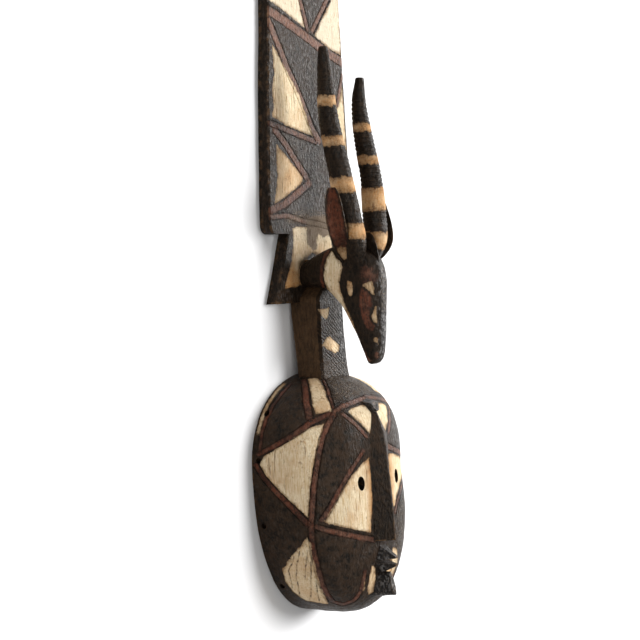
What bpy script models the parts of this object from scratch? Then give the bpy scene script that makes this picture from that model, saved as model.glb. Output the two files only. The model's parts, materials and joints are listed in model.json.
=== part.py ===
"""Plank mask with an antelope's head, carved from one piece of wood, lying on its back.

Metres. +X is to the right of someone who faces the mask, +Y runs up the plank and +Z out of its front.
Every height below is measured from the chin; the finished carving is centred on the origin."""

import math

import bmesh
import bpy
import numpy as np
from mathutils import Vector

# Driving sizes
LENGTH = 1.70
FACE_LONG = 0.3805
FACE_WIDE = 0.2975
FACE_DEEP = 0.1372
FACE_WIDEST_AT = 0.244
FACE_WALL = 0.0145
FACE_CELLS = 24
# How square the face is: seen from the front, and in section across, up to the crown and down to the chin.
OVAL_POWER = 2.15
ACROSS_POWER, CROWN_POWER, CHIN_POWER = 2.25, 2.78, 5.46

EYE_X, EYE_Y = 0.048, 0.214
EYE_WIDE, EYE_TALL = 0.014, 0.0215
TIE_HOLE = 0.009
TIE_HOLE_RISE = 0.012
TIE_HOLE_YS = (0.053, 0.154, 0.256, 0.326)
HOLE_SIDES, HOLE_REACH = 12, 0.035

# Forms on the face stand on feet sunk this deep under its skin.
SINK = 0.006
NOSE_TOP, NOSE_FULL_AT, NOSE_BOTTOM = 0.320, 0.283, 0.121
NOSE_HALF, NOSE_APEX_SHARE, NOSE_RIDGE_HALF = 0.024, 0.25, 0.0015
NOSE_PROUD_TOP, NOSE_PROUD, NOSE_CURVE, NOSE_RINGS = 0.006, 0.026, 0.9, 8
KNOB_TOP, KNOB_SHOULDER, KNOB_BOTTOM, KNOB_PROUD = 0.3410, 0.3375, 0.3190, 0.0105
KNOB_HALF, KNOB_BOTTOM_HALF, KNOB_CROWN_SHARE = 0.0170, 0.0060, 0.62
LIP_HALF, LIP_FAR_HALF, LIP_TIP_HALF, LIP_PEAK = 0.019, 0.008, 0.003, 0.1627
UPPER_LIP_LINE, UPPER_LIP_FAR, UPPER_LIP_TIP = 0.0900, 0.112, 0.0930
LOWER_LIP_LINE, LOWER_LIP_FAR, LOWER_LIP_TIP = 0.0860, 0.067, 0.0836
LIP_TIP_THICK = 0.0025
BEARD_Y, BEARD_HALF, BEARD_TALL_HALF = 0.0500, 0.0140, 0.0210
BEARD_RIDGE_Y, BEARD_RIDGE_HALF, BEARD_RIDGE_TALL_HALF = 0.0530, 0.0045, 0.0185
BEARD_PEAK, BEARD_SLANT = 0.1545, 0.0045
BEARD_SIDES = 10

POST_FOOT, POST_TOP = 0.364, 0.560
POST_HALF, POST_EDGE = 0.041, 0.0045
POST_FRONT_HALF_FOOT, POST_FRONT_HALF_TOP = 0.0375, 0.0350
POST_DEEP_FOOT, POST_DEEP_TOP, POST_SPREAD = 0.0615, 0.0530, 4
POST_HOLLOW_BACK, POST_HOLLOW_SHARE, POST_BACK = 0.0125, 0.62, 0.0008

BOARD_THICK, BOARD_EDGE = 0.020, 0.0025
FLARE_FOOT, FLARE_INNER_FOOT = 0.4935, 0.4985
FLARE_HALF_FOOT, FLARE_HALF_TOP, FLARE_LAP = 0.0990, 0.0625, 0.006
PLANK_FOOT = 0.602
PLANK_HALF_FOOT, PLANK_HALF_TOP = 0.1085, 0.086
PLANK_TAPER_LENGTH, PLANK_STATIONS = 0.62, 6
CORNER = 0.014

HEAD_SIDES, HEAD_POWER = 16, 2.8

HORN_SIDES = 10
HORN_TIP, HORN_SWELL, HORN_SWELL_LENGTH = 0.0065, 0.0125, 0.090
HORN_ROOT, HORN_ROOT_SPREAD, HORN_DEEPER = 0.0120, 0.11, 1.06
HORN_TIP_ROUND, HORN_TIP_RING = 0.0012, 0.018
RING_PITCH, RING_DEPTH, RING_HALF = 0.0070, 0.0012, 0.0018
SMOOTH_TIP, SMOOTH_ROOT = 0.040, 0.038

EAR_HALF, EAR_THICK, EAR_HOLLOW = 0.0150, 0.0045, 0.0060
LEAF_SHARES = (0, 0.15, 0.30, 0.45, 0.60, 0.74, 0.86, 0.95, 1)
LEAF_WIDEST, LEAF_ROOT, LEAF_TIP_REACH, LEAF_TIP_POWER = 0.68, 0.35, 0.34, 2.4
EAR_TURN = math.radians(54.0)
CREST_FOOT, CREST_TIP = (0, 0.5300, 0.1440), (0, 0.6000, 0.1255)
CREST_HALF, CREST_THICK, CREST_SWELL = 0.0135, 0.0035, 0.0030

SHARP_ANGLE = math.radians(32.0)
WOOD_COLOUR = (0.10, 0.065, 0.045, 1.0)
WOOD_ROUGHNESS = 0.75


def new_object(name, points, faces):
    """A closed mesh object from points and faces, its faces pointing out."""
    mesh = bpy.data.meshes.new(name)
    mesh.from_pydata([tuple(p) for p in points], [], faces)
    work = bmesh.new()
    work.from_mesh(mesh)
    bmesh.ops.remove_doubles(work, verts=work.verts, dist=0.00001)
    bmesh.ops.recalc_face_normals(work, faces=work.faces)
    work.to_mesh(mesh)
    work.free()
    obj = bpy.data.objects.new(name, mesh)
    bpy.context.scene.collection.objects.link(obj)
    obj.location.y = -LENGTH / 2
    return obj


def loft(name, rings):
    """A solid through rings of equally many points, closed flat at both ends."""
    count = len(rings[0])
    points = [p for ring in rings for p in ring]
    faces = [list(range(count)), list(range(len(points) - count, len(points)))]
    for level in range(len(rings) - 1):
        for i in range(count):
            here, there = level * count, (level + 1) * count
            j = (i + 1) % count
            faces.append([here + i, here + j, there + j, there + i])
    return new_object(name, points, faces)


def mix(low, high, share):
    return low + (high - low) * share


def smooth_through(stations, shares):
    """Points at these shares of a smooth curve through the stations (Catmull-Rom)."""
    knots = [2 * np.array(stations[0]) - np.array(stations[1]), *map(np.array, stations)]
    knots.append(2 * knots[-1] - knots[-2])
    found = []
    for place in np.array(shares) * (len(stations) - 1):
        start = min(int(place), len(stations) - 2)
        t = place - start
        a, b, c, d = knots[start : start + 4]
        bend = (2 * a - 5 * b + 4 * c - d) * t**2 + (3 * b - a - 3 * c + d) * t**3
        found.append(0.5 * (2 * b + (c - a) * t + bend))
    return found


def rib_power(angle):
    """How square the dome is in section along the rib at this angle round the oval."""
    lengthwise = CROWN_POWER if math.sin(angle) > 0 else CHIN_POWER
    return mix(ACROSS_POWER, lengthwise, math.sin(angle) ** 2)


def oval_half(up):
    return FACE_LONG - FACE_WIDEST_AT if up else FACE_WIDEST_AT


def oval_reach(across, along):
    """1 on the oval's outline and less inside it, for a place in halves of its width and length."""
    return (abs(across) ** OVAL_POWER + abs(along) ** OVAL_POWER) ** (1 / OVAL_POWER)


def dome_point(u, v, inset, deep):
    """The dome's skin for a place in the square -1..1, which is drawn out over the whole oval."""
    x, y = u * math.sqrt(1 - v * v / 2), v * math.sqrt(1 - u * u / 2)
    angle, share = math.atan2(y, x), 1 - min(1.0, math.hypot(x, y))
    rim = 1 / oval_reach(math.cos(angle), math.sin(angle))
    wide = (FACE_WIDE / 2 - inset) * rim * math.cos(angle)
    long = (oval_half(y > 0) - inset) * rim * math.sin(angle)
    turns = np.linspace(0, math.pi / 2, 49)
    power = rib_power(angle)
    reach = np.maximum(np.cos(turns), 0) ** (2 / power)
    rise = np.sin(turns) ** (2 / power)
    gone = np.cumsum(np.hypot(np.diff(reach) * math.hypot(wide, long), np.diff(rise) * deep))
    gone = np.concatenate([[0], gone])
    reach_here = np.interp(share * gone[-1], gone, reach)
    rise_here = np.interp(share * gone[-1], gone, rise)
    return wide * reach_here, FACE_WIDEST_AT + long * reach_here, deep * rise_here


def skin(x, y):
    """Height of the face's outer skin over a place on the oval."""
    across = x / (FACE_WIDE / 2)
    along = (y - FACE_WIDEST_AT) / oval_half(y > FACE_WIDEST_AT)
    power = rib_power(math.atan2(along, across))
    return FACE_DEEP * (1 - min(1.0, oval_reach(across, along)) ** power) ** (1 / power)


def face_shell():
    """The hollow oval face: an outer and an inner dome, joined by a flat rim."""
    row = FACE_CELLS + 1
    places = [2 * i / FACE_CELLS - 1 for i in range(row)]
    points, faces = [], []
    for inset, deep in ((0, FACE_DEEP), (FACE_WALL, FACE_DEEP - FACE_WALL)):
        points += [dome_point(u, v, inset, deep) for v in places for u in places]
    inner = row * row
    for j in range(FACE_CELLS):
        for i in range(FACE_CELLS):
            a = j * row + i
            faces.append([a, a + 1, a + row + 1, a + row])
            faces.append([inner + a, inner + a + row, inner + a + row + 1, inner + a + 1])
    rim = [i for i in range(row)]
    rim += [j * row + FACE_CELLS for j in range(1, row)]
    rim += [FACE_CELLS * row + i for i in range(FACE_CELLS - 1, -1, -1)]
    rim += [j * row for j in range(FACE_CELLS - 1, 0, -1)]
    for i, a in enumerate(rim):
        b = rim[(i + 1) % len(rim)]
        faces.append([a, inner + a, inner + b, b])
    return new_object("plank_mask", points, faces)


def nose():
    """A long wedge, narrow above, whose ridge rises to its flat lower end."""
    rings = []
    for y in np.linspace(NOSE_TOP, NOSE_BOTTOM, NOSE_RINGS):
        half = NOSE_HALF * min(1.0, mix(NOSE_APEX_SHARE, 1, (NOSE_TOP - y) / (NOSE_TOP - NOSE_FULL_AT)))
        down = ((NOSE_TOP - y) / (NOSE_TOP - NOSE_BOTTOM)) ** NOSE_CURVE
        ridge = skin(0, y) + mix(NOSE_PROUD_TOP, NOSE_PROUD, down)
        right = [(half, skin(half, y) - SINK), (half, skin(half, y)), (NOSE_RIDGE_HALF, ridge)]
        rings.append([(x, y, z) for x, z in right] + [(-x, y, z) for x, z in reversed(right)])
    return loft("nose", rings)


def boss(name, outline, peak):
    """A raised form on the face: its foot follows the outline just under the skin, its peak is given."""
    foot = [(x, y, skin(x, y) - SINK) for x, y in outline]
    waist = [(x, y, skin(x, y)) for x, y in outline]
    return loft(name, [foot, waist, peak])


def lip(name, line, far, tip):
    """One lip: a wedge between the mouth's line and its far edge, drawn out forward to a blunt tip."""
    outline = [(-LIP_HALF, line), (-LIP_FAR_HALF, far), (LIP_FAR_HALF, far), (LIP_HALF, line)]
    thick = math.copysign(LIP_TIP_THICK, far - line)
    peak = [(-LIP_TIP_HALF, tip, LIP_PEAK), (-LIP_TIP_HALF, tip + thick, LIP_PEAK)]
    peak += [(-x, y, z) for x, y, z in reversed(peak)]
    return boss(name, outline, peak)


def beard():
    """A drop-shaped beard below the mouth, its front ridge leaning out towards its lower end."""
    outline, peak = [], []
    for i in range(BEARD_SIDES):
        turn = 2 * math.pi * i / BEARD_SIDES
        x, y = math.sin(turn), math.cos(turn)
        outline.append((BEARD_HALF * x, BEARD_Y + BEARD_TALL_HALF * y))
        ridge_y = BEARD_RIDGE_Y + BEARD_RIDGE_TALL_HALF * y
        peak.append((BEARD_RIDGE_HALF * x, ridge_y, BEARD_PEAK - BEARD_SLANT * y))
    return boss("beard", outline, peak)


def brow_knob():
    """The knob over the nose's upper end: a triangle with its point down."""
    outline = [(-KNOB_HALF, KNOB_SHOULDER), (0, KNOB_TOP), (KNOB_HALF, KNOB_SHOULDER)]
    outline += [(KNOB_BOTTOM_HALF, KNOB_BOTTOM), (-KNOB_BOTTOM_HALF, KNOB_BOTTOM)]
    middle = (KNOB_TOP + KNOB_BOTTOM) / 2
    crown = [(KNOB_CROWN_SHARE * x, mix(middle, y, KNOB_CROWN_SHARE)) for x, y in outline]
    return boss("brow_knob", outline, [(x, y, skin(x, y) + KNOB_PROUD) for x, y in crown])


def board():
    """The flare and the long plank in one thickness, their outline stepping out at the plank's foot."""
    right = [(POST_HALF - FLARE_LAP, FLARE_INNER_FOOT), (FLARE_HALF_FOOT, FLARE_FOOT)]
    right += [(FLARE_HALF_TOP, PLANK_FOOT)]
    right += rounded(plank_half(PLANK_FOOT) - CORNER, PLANK_FOOT + CORNER, -90)
    for i in range(1, PLANK_STATIONS + 1):
        y = PLANK_FOOT + PLANK_TAPER_LENGTH * i / PLANK_STATIONS
        right.append((plank_half(y), y))
    right += rounded(plank_half(LENGTH) - CORNER, LENGTH - CORNER, 0)
    outline = right + [(-x, y) for x, y in reversed(right)]
    obj = loft("board", [[(x, y, z) for x, y in outline] for z in (0, BOARD_THICK)])
    work = bmesh.new()
    work.from_mesh(obj.data)
    front = [e for e in work.edges if all(v.co.z > BOARD_THICK / 2 for v in e.verts)]
    bmesh.ops.bevel(work, geom=front, offset=BOARD_EDGE, segments=1, affect="EDGES")
    work.to_mesh(obj.data)
    work.free()
    return obj


def plank_half(y):
    """Half the plank's width: it narrows slowly from the foot up."""
    share = min(1.0, (y - PLANK_FOOT) / PLANK_TAPER_LENGTH)
    return mix(PLANK_HALF_FOOT, PLANK_HALF_TOP, share * share * (3 - 2 * share))


def rounded(x, y, first):
    """A quarter-round corner about (x, y), from this angle in degrees on."""
    turns = [math.radians(first + step) for step in (0, 30, 60, 90)]
    return [(x + CORNER * math.cos(t), y + CORNER * math.sin(t)) for t in turns]


def post():
    """The thick post between the face and the flare, narrower in front, its back hollowed at the face."""
    rings = []
    for share in (0, 0.12, 0.28, POST_HOLLOW_SHARE, 1):
        y = mix(POST_FOOT, POST_TOP, share)
        front = mix(POST_FRONT_HALF_FOOT, POST_FRONT_HALF_TOP, min(1, 2 * share))
        deep = mix(POST_DEEP_TOP, POST_DEEP_FOOT, (1 - share) ** POST_SPREAD)
        low = max(POST_BACK, POST_HOLLOW_BACK * (1 - share / POST_HOLLOW_SHARE))
        right = [(POST_HALF - POST_EDGE, low), (POST_HALF, low + POST_EDGE)]
        right += [(front, deep - POST_EDGE), (front - POST_EDGE, deep)]
        rings.append([(x, y, z) for x, z in right] + [(-x, y, z) for x, z in reversed(right)])
    return loft("post", rings)


# The antelope's neck and head: for each section the crown's and the throat's (height, depth), its half
# width, and how much narrower it is on the crown's side.
HEAD_SECTIONS = (
    ((0.555, 0.015), (0.514, 0.015), 0.0375, 0.00),
    ((0.566, 0.036), (0.514, 0.045), 0.0365, 0.00),
    ((0.576, 0.056), (0.511, 0.061), 0.0350, 0.00),
    ((0.583, 0.082), (0.497, 0.075), 0.0340, 0.05),
    ((0.581, 0.110), (0.483, 0.088), 0.0335, 0.10),
    ((0.570, 0.135), (0.468, 0.099), 0.0325, 0.20),
    ((0.554, 0.149), (0.453, 0.109), 0.0315, 0.28),
    ((0.532, 0.1555), (0.441, 0.116), 0.0280, 0.42),
    ((0.503, 0.155), (0.429, 0.122), 0.0240, 0.48),
    ((0.468, 0.1535), (0.418, 0.126), 0.0205, 0.42),
    ((0.434, 0.151), (0.408, 0.129), 0.0180, 0.34),
    ((0.410, 0.147), (0.400, 0.131), 0.0150, 0.25),
    ((0.399, 0.141), (0.3955, 0.134), 0.0090, 0.20),
)


def head():
    """The neck that rises from the post and bends over into the downward muzzle."""
    rings = []
    for crown, throat, half, narrower in HEAD_SECTIONS:
        middle = (np.array(crown) + np.array(throat)) / 2
        reach = (np.array(crown) - np.array(throat)) / 2
        ring = []
        for i in range(HEAD_SIDES):
            turn = 2 * math.pi * (i + 0.5) / HEAD_SIDES
            across = math.copysign(abs(math.cos(turn)) ** (2 / HEAD_POWER), math.cos(turn))
            along = math.copysign(abs(math.sin(turn)) ** (2 / HEAD_POWER), math.sin(turn))
            y, z = middle + reach * along
            ring.append((half * across * (1 - narrower * (1 + along) / 2), y, z))
        rings.append(ring)
    return loft("head", rings)


# The right horn's axis from its root inside the head; the left one is its mirror image and longer.
HORN_AXIS = (
    (0.0140, 0.545, 0.1120),
    (0.0275, 0.582, 0.1225),
    (0.0345, 0.625, 0.1170),
    (0.0410, 0.685, 0.1085),
    (0.0420, 0.745, 0.0960),
    (0.0430, 0.800, 0.0875),
)
HORN_TIPS = {-1: (0.0465, 0.889, 0.0860), 1: (0.0465, 0.845, 0.0885)}
# The light bands as pairs of heights, for the left and the right horn.
LIGHT_BANDS = {
    -1: ((0.796, 0.814), (0.735, 0.752), (0.661, 0.687), (0.591, 0.617)),
    1: ((0.758, 0.773), (0.706, 0.722), (0.632, 0.671), (0.572, 0.602)),
}


def horn(side):
    """A long horn with a blunt tip, notched all round in its dark bands and smooth in its light ones."""
    path = np.array(smooth_through([*HORN_AXIS, HORN_TIPS[side]], np.linspace(0, 1, 160)))
    root, tip = path[0][1], path[-1][1]
    heights = {root, tip - HORN_TIP_RING, tip - HORN_TIP_ROUND, tip}
    height = tip - SMOOTH_TIP
    while height > root + RING_PITCH:
        if is_ringed(side, height, tip):
            heights |= {height + RING_HALF, height, height - RING_HALF}
        else:
            heights.add(height + RING_PITCH / 2)
        height -= RING_PITCH
    rings = []
    for height in sorted(round(h, 5) for h in heights):
        x, z = (np.interp(height, path[:, 1], path[:, k]) for k in (0, 2))
        radius = HORN_TIP + HORN_SWELL * (1 - math.exp((height - tip) / HORN_SWELL_LENGTH))
        radius = min(radius, HORN_ROOT + HORN_ROOT_SPREAD * (height - root))
        steps = (tip - SMOOTH_TIP - height) / RING_PITCH
        if height > tip - HORN_TIP_ROUND / 2:
            radius -= HORN_TIP_ROUND
        elif abs(steps - round(steps)) < RING_HALF / RING_PITCH / 2 and is_ringed(side, height, tip):
            radius -= RING_DEPTH
        turns = [2 * math.pi * i / HORN_SIDES for i in range(HORN_SIDES)]
        ring = [(side * x + radius * math.cos(t), z + HORN_DEEPER * radius * math.sin(t)) for t in turns]
        rings.append([(a, height, b) for a, b in ring])
    return loft("horn", rings)


def is_ringed(side, height, tip):
    """Whether the horn is notched at this height: not near its tip or root, nor in a light band."""
    in_light = any(low < height < high for low, high in LIGHT_BANDS[side])
    return not in_light and HORN_AXIS[0][1] + SMOOTH_ROOT < height < tip - SMOOTH_TIP + RING_HALF


def leaf(name, axis, spread, facing, half, thick, hollow):
    """A leaf-shaped blade along its axis, widest above the middle, hollowed on the side it faces."""
    spread, facing = Vector(spread), Vector(facing)
    rings = []
    for share, centre in zip(LEAF_SHARES, smooth_through(axis, LEAF_SHARES)):
        width = mix(LEAF_ROOT, 1, math.sin(math.pi / 2 * min(1, share / LEAF_WIDEST)))
        if share > LEAF_WIDEST:
            width = math.sqrt(1 - ((share - LEAF_WIDEST) / LEAF_TIP_REACH) ** LEAF_TIP_POWER)
        middle = Vector(centre) + facing * (hollow * width / 2)
        back = [(s, thick * (1.4 - s * s) + hollow * width * (1 - s * s)) for s in (-1, -0.55, 0, 0.55, 1)]
        front = [(s, hollow * width * (1 - s * s)) for s in (0.86, 0.4, -0.4, -0.86)]
        rings.append([tuple(middle + spread * (half * width * s) - facing * d) for s, d in back + front])
    return loft(name, rings)


# Each ear's axis from inside the head to its tip; the right ear is set lower and further out.
EAR_AXES = {
    -1: (
        (0.024, 0.553, 0.1040),
        (0.038, 0.570, 0.1060),
        (0.056, 0.595, 0.1120),
        (0.071, 0.624, 0.1160),
        (0.079, 0.671, 0.1168),
    ),
    1: (
        (0.022, 0.545, 0.1080),
        (0.048, 0.560, 0.1150),
        (0.066, 0.578, 0.1185),
        (0.073, 0.602, 0.1170),
        (0.070, 0.645, 0.1120),
    ),
}


def ear(side):
    axis = [(side * x, y, z) for x, y, z in EAR_AXES[side]]
    spread = (-side * math.cos(EAR_TURN), 0, math.sin(EAR_TURN))
    facing = (side * math.sin(EAR_TURN), 0, math.cos(EAR_TURN))
    return leaf("ear", axis, spread, facing, EAR_HALF, EAR_THICK, EAR_HOLLOW)


def crest():
    """The small upright leaf on the forehead between the horns."""
    slope = (Vector(CREST_TIP) - Vector(CREST_FOOT)).normalized()
    spread = (0, -slope.z, slope.y)
    return leaf("crest", (CREST_FOOT, CREST_TIP), spread, (1, 0, 0), CREST_HALF, CREST_THICK, -CREST_SWELL)


def hole(name, centre, half_sizes, along_x):
    """A cutter for a round or oval hole, along X or along Z."""
    rings = []
    for end in (-HOLE_REACH, HOLE_REACH):
        ring = []
        for i in range(HOLE_SIDES):
            turn = 2 * math.pi * (i + 0.5) / HOLE_SIDES
            a, b = half_sizes[0] * math.cos(turn), half_sizes[1] * math.sin(turn)
            x, y, z = (end, a, b) if along_x else (a, b, end)
            ring.append((centre[0] + x, centre[1] + y, centre[2] + z))
        rings.append(ring)
    return loft(name, rings)


def holes():
    """Both eyes, and the tie holes through the side wall just above the rim."""
    found = []
    for side in (-1, 1):
        eye = (side * EYE_X, EYE_Y, skin(EYE_X, EYE_Y))
        found.append(hole("eye", eye, (EYE_WIDE / 2, EYE_TALL / 2), False))
        for y in TIE_HOLE_YS:
            along = abs(y - FACE_WIDEST_AT) / oval_half(y > FACE_WIDEST_AT)
            wall = FACE_WIDE / 2 * (1 - along**OVAL_POWER) ** (1 / OVAL_POWER) - FACE_WALL / 2
            found.append(hole("tie_hole", (side * wall, y, TIE_HOLE_RISE), (TIE_HOLE / 2, TIE_HOLE / 2), True))
    return found


def join(body, pieces, operation):
    """Adds pieces to the body or cuts them from it, one exact Boolean each."""
    for piece in pieces:
        piece.hide_render = True
        piece.display_type = "WIRE"
        step = body.modifiers.new(f"{operation.lower()}_{piece.name}", "BOOLEAN")
        step.operation = operation
        step.solver = "EXACT"
        step.object = piece


def wood():
    material = bpy.data.materials.new("painted_wood")
    material.use_nodes = True
    shader = material.node_tree.nodes["Principled BSDF"]
    shader.inputs["Base Color"].default_value = WOOD_COLOUR
    shader.inputs["Roughness"].default_value = WOOD_ROUGHNESS
    shader.inputs["Metallic"].default_value = 0.0
    return material


def finish(mask):
    """Puts the Booleans' result in the object's own mesh, smooth but for its carved edges."""
    evaluated = mask.evaluated_get(bpy.context.evaluated_depsgraph_get())
    carved = bpy.data.meshes.new_from_object(evaluated)
    mask.modifiers.clear()
    mask.data = carved
    carved.shade_smooth()
    carved.set_sharp_from_angle(angle=SHARP_ANGLE)


def build():
    for obj in list(bpy.data.objects):
        bpy.data.objects.remove(obj, do_unlink=True)
    mask = face_shell()
    raised = [post(), board(), head(), nose(), brow_knob(), beard()]
    raised.append(lip("upper_lip", UPPER_LIP_LINE, UPPER_LIP_FAR, UPPER_LIP_TIP))
    raised.append(lip("lower_lip", LOWER_LIP_LINE, LOWER_LIP_FAR, LOWER_LIP_TIP))
    raised += [horn(-1), horn(1), ear(-1), ear(1), crest()]
    join(mask, raised, "UNION")
    join(mask, holes(), "DIFFERENCE")
    mask.data.materials.append(wood())
    finish(mask)


build()
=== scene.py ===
"""Looks of the plank mask: its fine carving, its earth paint, a pale floor, soft light and the camera.

Metres, in the part's frame. The carving is built with heights measured from the chin, as in the part, and is
moved down by half its length at the end. Paint is laid out in millimetres, the way a carver marks it: on the
plank as (across, height), on the face as (across, up) from the top of the dome along its skin, and on the
head's side as (forward, height)."""

import json
import math

import bmesh
import bpy
import numpy as np
from mathutils import Matrix, Vector, noise
from mathutils.bvhtree import BVHTree

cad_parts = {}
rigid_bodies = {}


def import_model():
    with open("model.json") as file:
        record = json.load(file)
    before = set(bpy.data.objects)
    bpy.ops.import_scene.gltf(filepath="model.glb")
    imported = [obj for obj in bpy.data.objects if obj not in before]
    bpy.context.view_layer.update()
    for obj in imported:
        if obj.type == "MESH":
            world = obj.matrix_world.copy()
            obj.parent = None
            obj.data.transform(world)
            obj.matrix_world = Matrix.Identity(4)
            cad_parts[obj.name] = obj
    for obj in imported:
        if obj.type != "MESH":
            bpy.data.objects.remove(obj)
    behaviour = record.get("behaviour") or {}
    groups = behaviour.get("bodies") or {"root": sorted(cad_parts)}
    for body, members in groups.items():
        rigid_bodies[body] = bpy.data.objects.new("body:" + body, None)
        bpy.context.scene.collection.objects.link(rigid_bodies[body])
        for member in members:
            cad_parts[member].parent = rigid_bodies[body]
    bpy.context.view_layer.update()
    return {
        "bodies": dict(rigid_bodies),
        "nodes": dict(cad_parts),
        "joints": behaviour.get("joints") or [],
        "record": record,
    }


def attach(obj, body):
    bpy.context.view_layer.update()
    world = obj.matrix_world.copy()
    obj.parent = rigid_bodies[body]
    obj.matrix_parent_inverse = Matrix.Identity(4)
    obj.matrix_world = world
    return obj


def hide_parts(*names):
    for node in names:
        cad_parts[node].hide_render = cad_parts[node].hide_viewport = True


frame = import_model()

# Sizes of the carving: the part's own, but for the post's narrow top and the antelope's throat, which lies a
# few millimetres lower here
LENGTH = 1.70
FACE_LONG, FACE_WIDE, FACE_DEEP = 0.3805, 0.2975, 0.1372
FACE_WIDEST_AT, FACE_WALL = 0.244, 0.0145
OVAL_POWER = 2.15
ACROSS_POWER, CROWN_POWER, CHIN_POWER = 2.25, 2.78, 5.46
EYE_X, EYE_Y, EYE_WIDE, EYE_TALL = 0.048, 0.214, 0.014, 0.0215
TIE_HOLE, TIE_HOLE_RISE = 0.009, 0.012
TIE_HOLE_YS = (0.053, 0.154, 0.256, 0.326)
HOLE_REACH = 0.035
SINK = 0.006
NOSE_TOP, NOSE_FULL_AT, NOSE_BOTTOM = 0.320, 0.283, 0.121
NOSE_HALF, NOSE_APEX_SHARE, NOSE_RIDGE_HALF = 0.024, 0.25, 0.0015
NOSE_PROUD_TOP, NOSE_PROUD, NOSE_CURVE = 0.006, 0.026, 0.9
KNOB_TOP, KNOB_SHOULDER, KNOB_BOTTOM, KNOB_PROUD = 0.3410, 0.3375, 0.3190, 0.0105
KNOB_HALF, KNOB_BOTTOM_HALF, KNOB_CROWN_SHARE = 0.0170, 0.0060, 0.62
LIP_HALF, LIP_FAR_HALF, LIP_TIP_HALF, LIP_PEAK = 0.019, 0.008, 0.003, 0.1627
UPPER_LIP = (0.0900, 0.112, 0.0930)
LOWER_LIP = (0.0860, 0.067, 0.0836)
LIP_TIP_THICK = 0.0025
BEARD_Y, BEARD_HALF, BEARD_TALL_HALF = 0.0500, 0.0140, 0.0210
BEARD_RIDGE_Y, BEARD_RIDGE_HALF, BEARD_RIDGE_TALL_HALF = 0.0530, 0.0045, 0.0185
BEARD_PEAK, BEARD_SLANT = 0.1545, 0.0045
POST_FOOT, POST_TOP, POST_HALF, POST_EDGE = 0.364, 0.560, 0.041, 0.0045
POST_FRONT_HALF_FOOT, POST_FRONT_HALF_TOP = 0.0375, 0.0350
POST_DEEP_FOOT, POST_DEEP_TOP, POST_SPREAD = 0.0615, 0.0530, 4
POST_HOLLOW_BACK, POST_HOLLOW_SHARE, POST_BACK = 0.0125, 0.62, 0.0008
POST_NARROWS_FROM, POST_NARROWS_TO, POST_TOP_SHARE = 0.500, 0.514, 0.58
BOARD_THICK, BOARD_EDGE = 0.020, 0.0025
FLARE_FOOT, FLARE_HALF_FOOT, FLARE_HALF_TOP, FLARE_LAP = 0.4935, 0.0990, 0.0625, 0.006
PLANK_FOOT, PLANK_HALF_FOOT, PLANK_HALF_TOP, PLANK_TAPER_LENGTH = 0.602, 0.1085, 0.086, 0.62
CORNER = 0.014
HEAD_POWER = 2.8
HEAD_SECTIONS = (
    (0.555, 0.0150, 0.514, 0.015, 0.0375, 0.00),
    (0.566, 0.0360, 0.514, 0.045, 0.0365, 0.00),
    (0.576, 0.0560, 0.511, 0.061, 0.0350, 0.00),
    (0.583, 0.0820, 0.497, 0.075, 0.0340, 0.05),
    (0.581, 0.1100, 0.482, 0.087, 0.0335, 0.10),
    (0.570, 0.1350, 0.466, 0.096, 0.0325, 0.20),
    (0.554, 0.1490, 0.450, 0.104, 0.0315, 0.28),
    (0.532, 0.1555, 0.438, 0.110, 0.0285, 0.42),
    (0.503, 0.1550, 0.426, 0.115, 0.0250, 0.48),
    (0.468, 0.1535, 0.415, 0.119, 0.0215, 0.42),
    (0.434, 0.1510, 0.405, 0.123, 0.0190, 0.34),
    (0.410, 0.1470, 0.398, 0.126, 0.0155, 0.25),
    (0.399, 0.1410, 0.3955, 0.130, 0.0090, 0.20),
)
NOSTRIL_X, NOSTRIL_Y, NOSTRIL_Z, NOSTRIL_RADIUS = 0.0090, 0.4095, 0.1470, 0.0023
HORN_TIP, HORN_SWELL, HORN_SWELL_LENGTH = 0.0065, 0.0125, 0.090
HORN_ROOT, HORN_ROOT_SPREAD, HORN_DEEPER = 0.0120, 0.11, 1.06
HORN_TIP_ROUND = 0.0025
RING_PITCH, RING_HALF = 0.0070, 0.0018
RING_DEPTHS = {-1: 0.0008, 1: 0.0012}
SMOOTH_TIP, SMOOTH_ROOT = 0.040, 0.038
HORN_AXIS = (
    (0.0140, 0.545, 0.1120),
    (0.0275, 0.582, 0.1225),
    (0.0345, 0.625, 0.1170),
    (0.0410, 0.685, 0.1085),
    (0.0420, 0.745, 0.0960),
    (0.0430, 0.800, 0.0875),
)
HORN_TIPS = {-1: (0.0465, 0.889, 0.0860), 1: (0.0465, 0.845, 0.0885)}
LIGHT_BANDS = {
    -1: ((0.796, 0.814), (0.735, 0.752), (0.661, 0.687), (0.591, 0.617)),
    1: ((0.758, 0.773), (0.706, 0.722), (0.632, 0.671), (0.572, 0.602)),
}
EAR_HALF, EAR_THICK, EAR_HOLLOW = 0.0150, 0.0045, 0.0060
EAR_TURN = math.radians(54.0)
LEAF_WIDEST, LEAF_ROOT, LEAF_TIP_REACH, LEAF_TIP_POWER = 0.68, 0.35, 0.34, 2.4
LEAF_FRONT, LEAF_BACK = 0.93, 1.4
EAR_AXES = {
    -1: (
        (0.024, 0.553, 0.1040),
        (0.038, 0.570, 0.1060),
        (0.056, 0.595, 0.1120),
        (0.071, 0.624, 0.1160),
        (0.079, 0.671, 0.1168),
    ),
    1: (
        (0.022, 0.545, 0.1080),
        (0.048, 0.560, 0.1150),
        (0.066, 0.578, 0.1185),
        (0.073, 0.602, 0.1170),
        (0.070, 0.645, 0.1120),
    ),
}
CREST_FOOT, CREST_TIP = (0, 0.5300, 0.1440), (0, 0.6000, 0.1255)
CREST_HALF, CREST_THICK, CREST_SWELL = 0.0135, 0.0035, 0.0030

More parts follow.
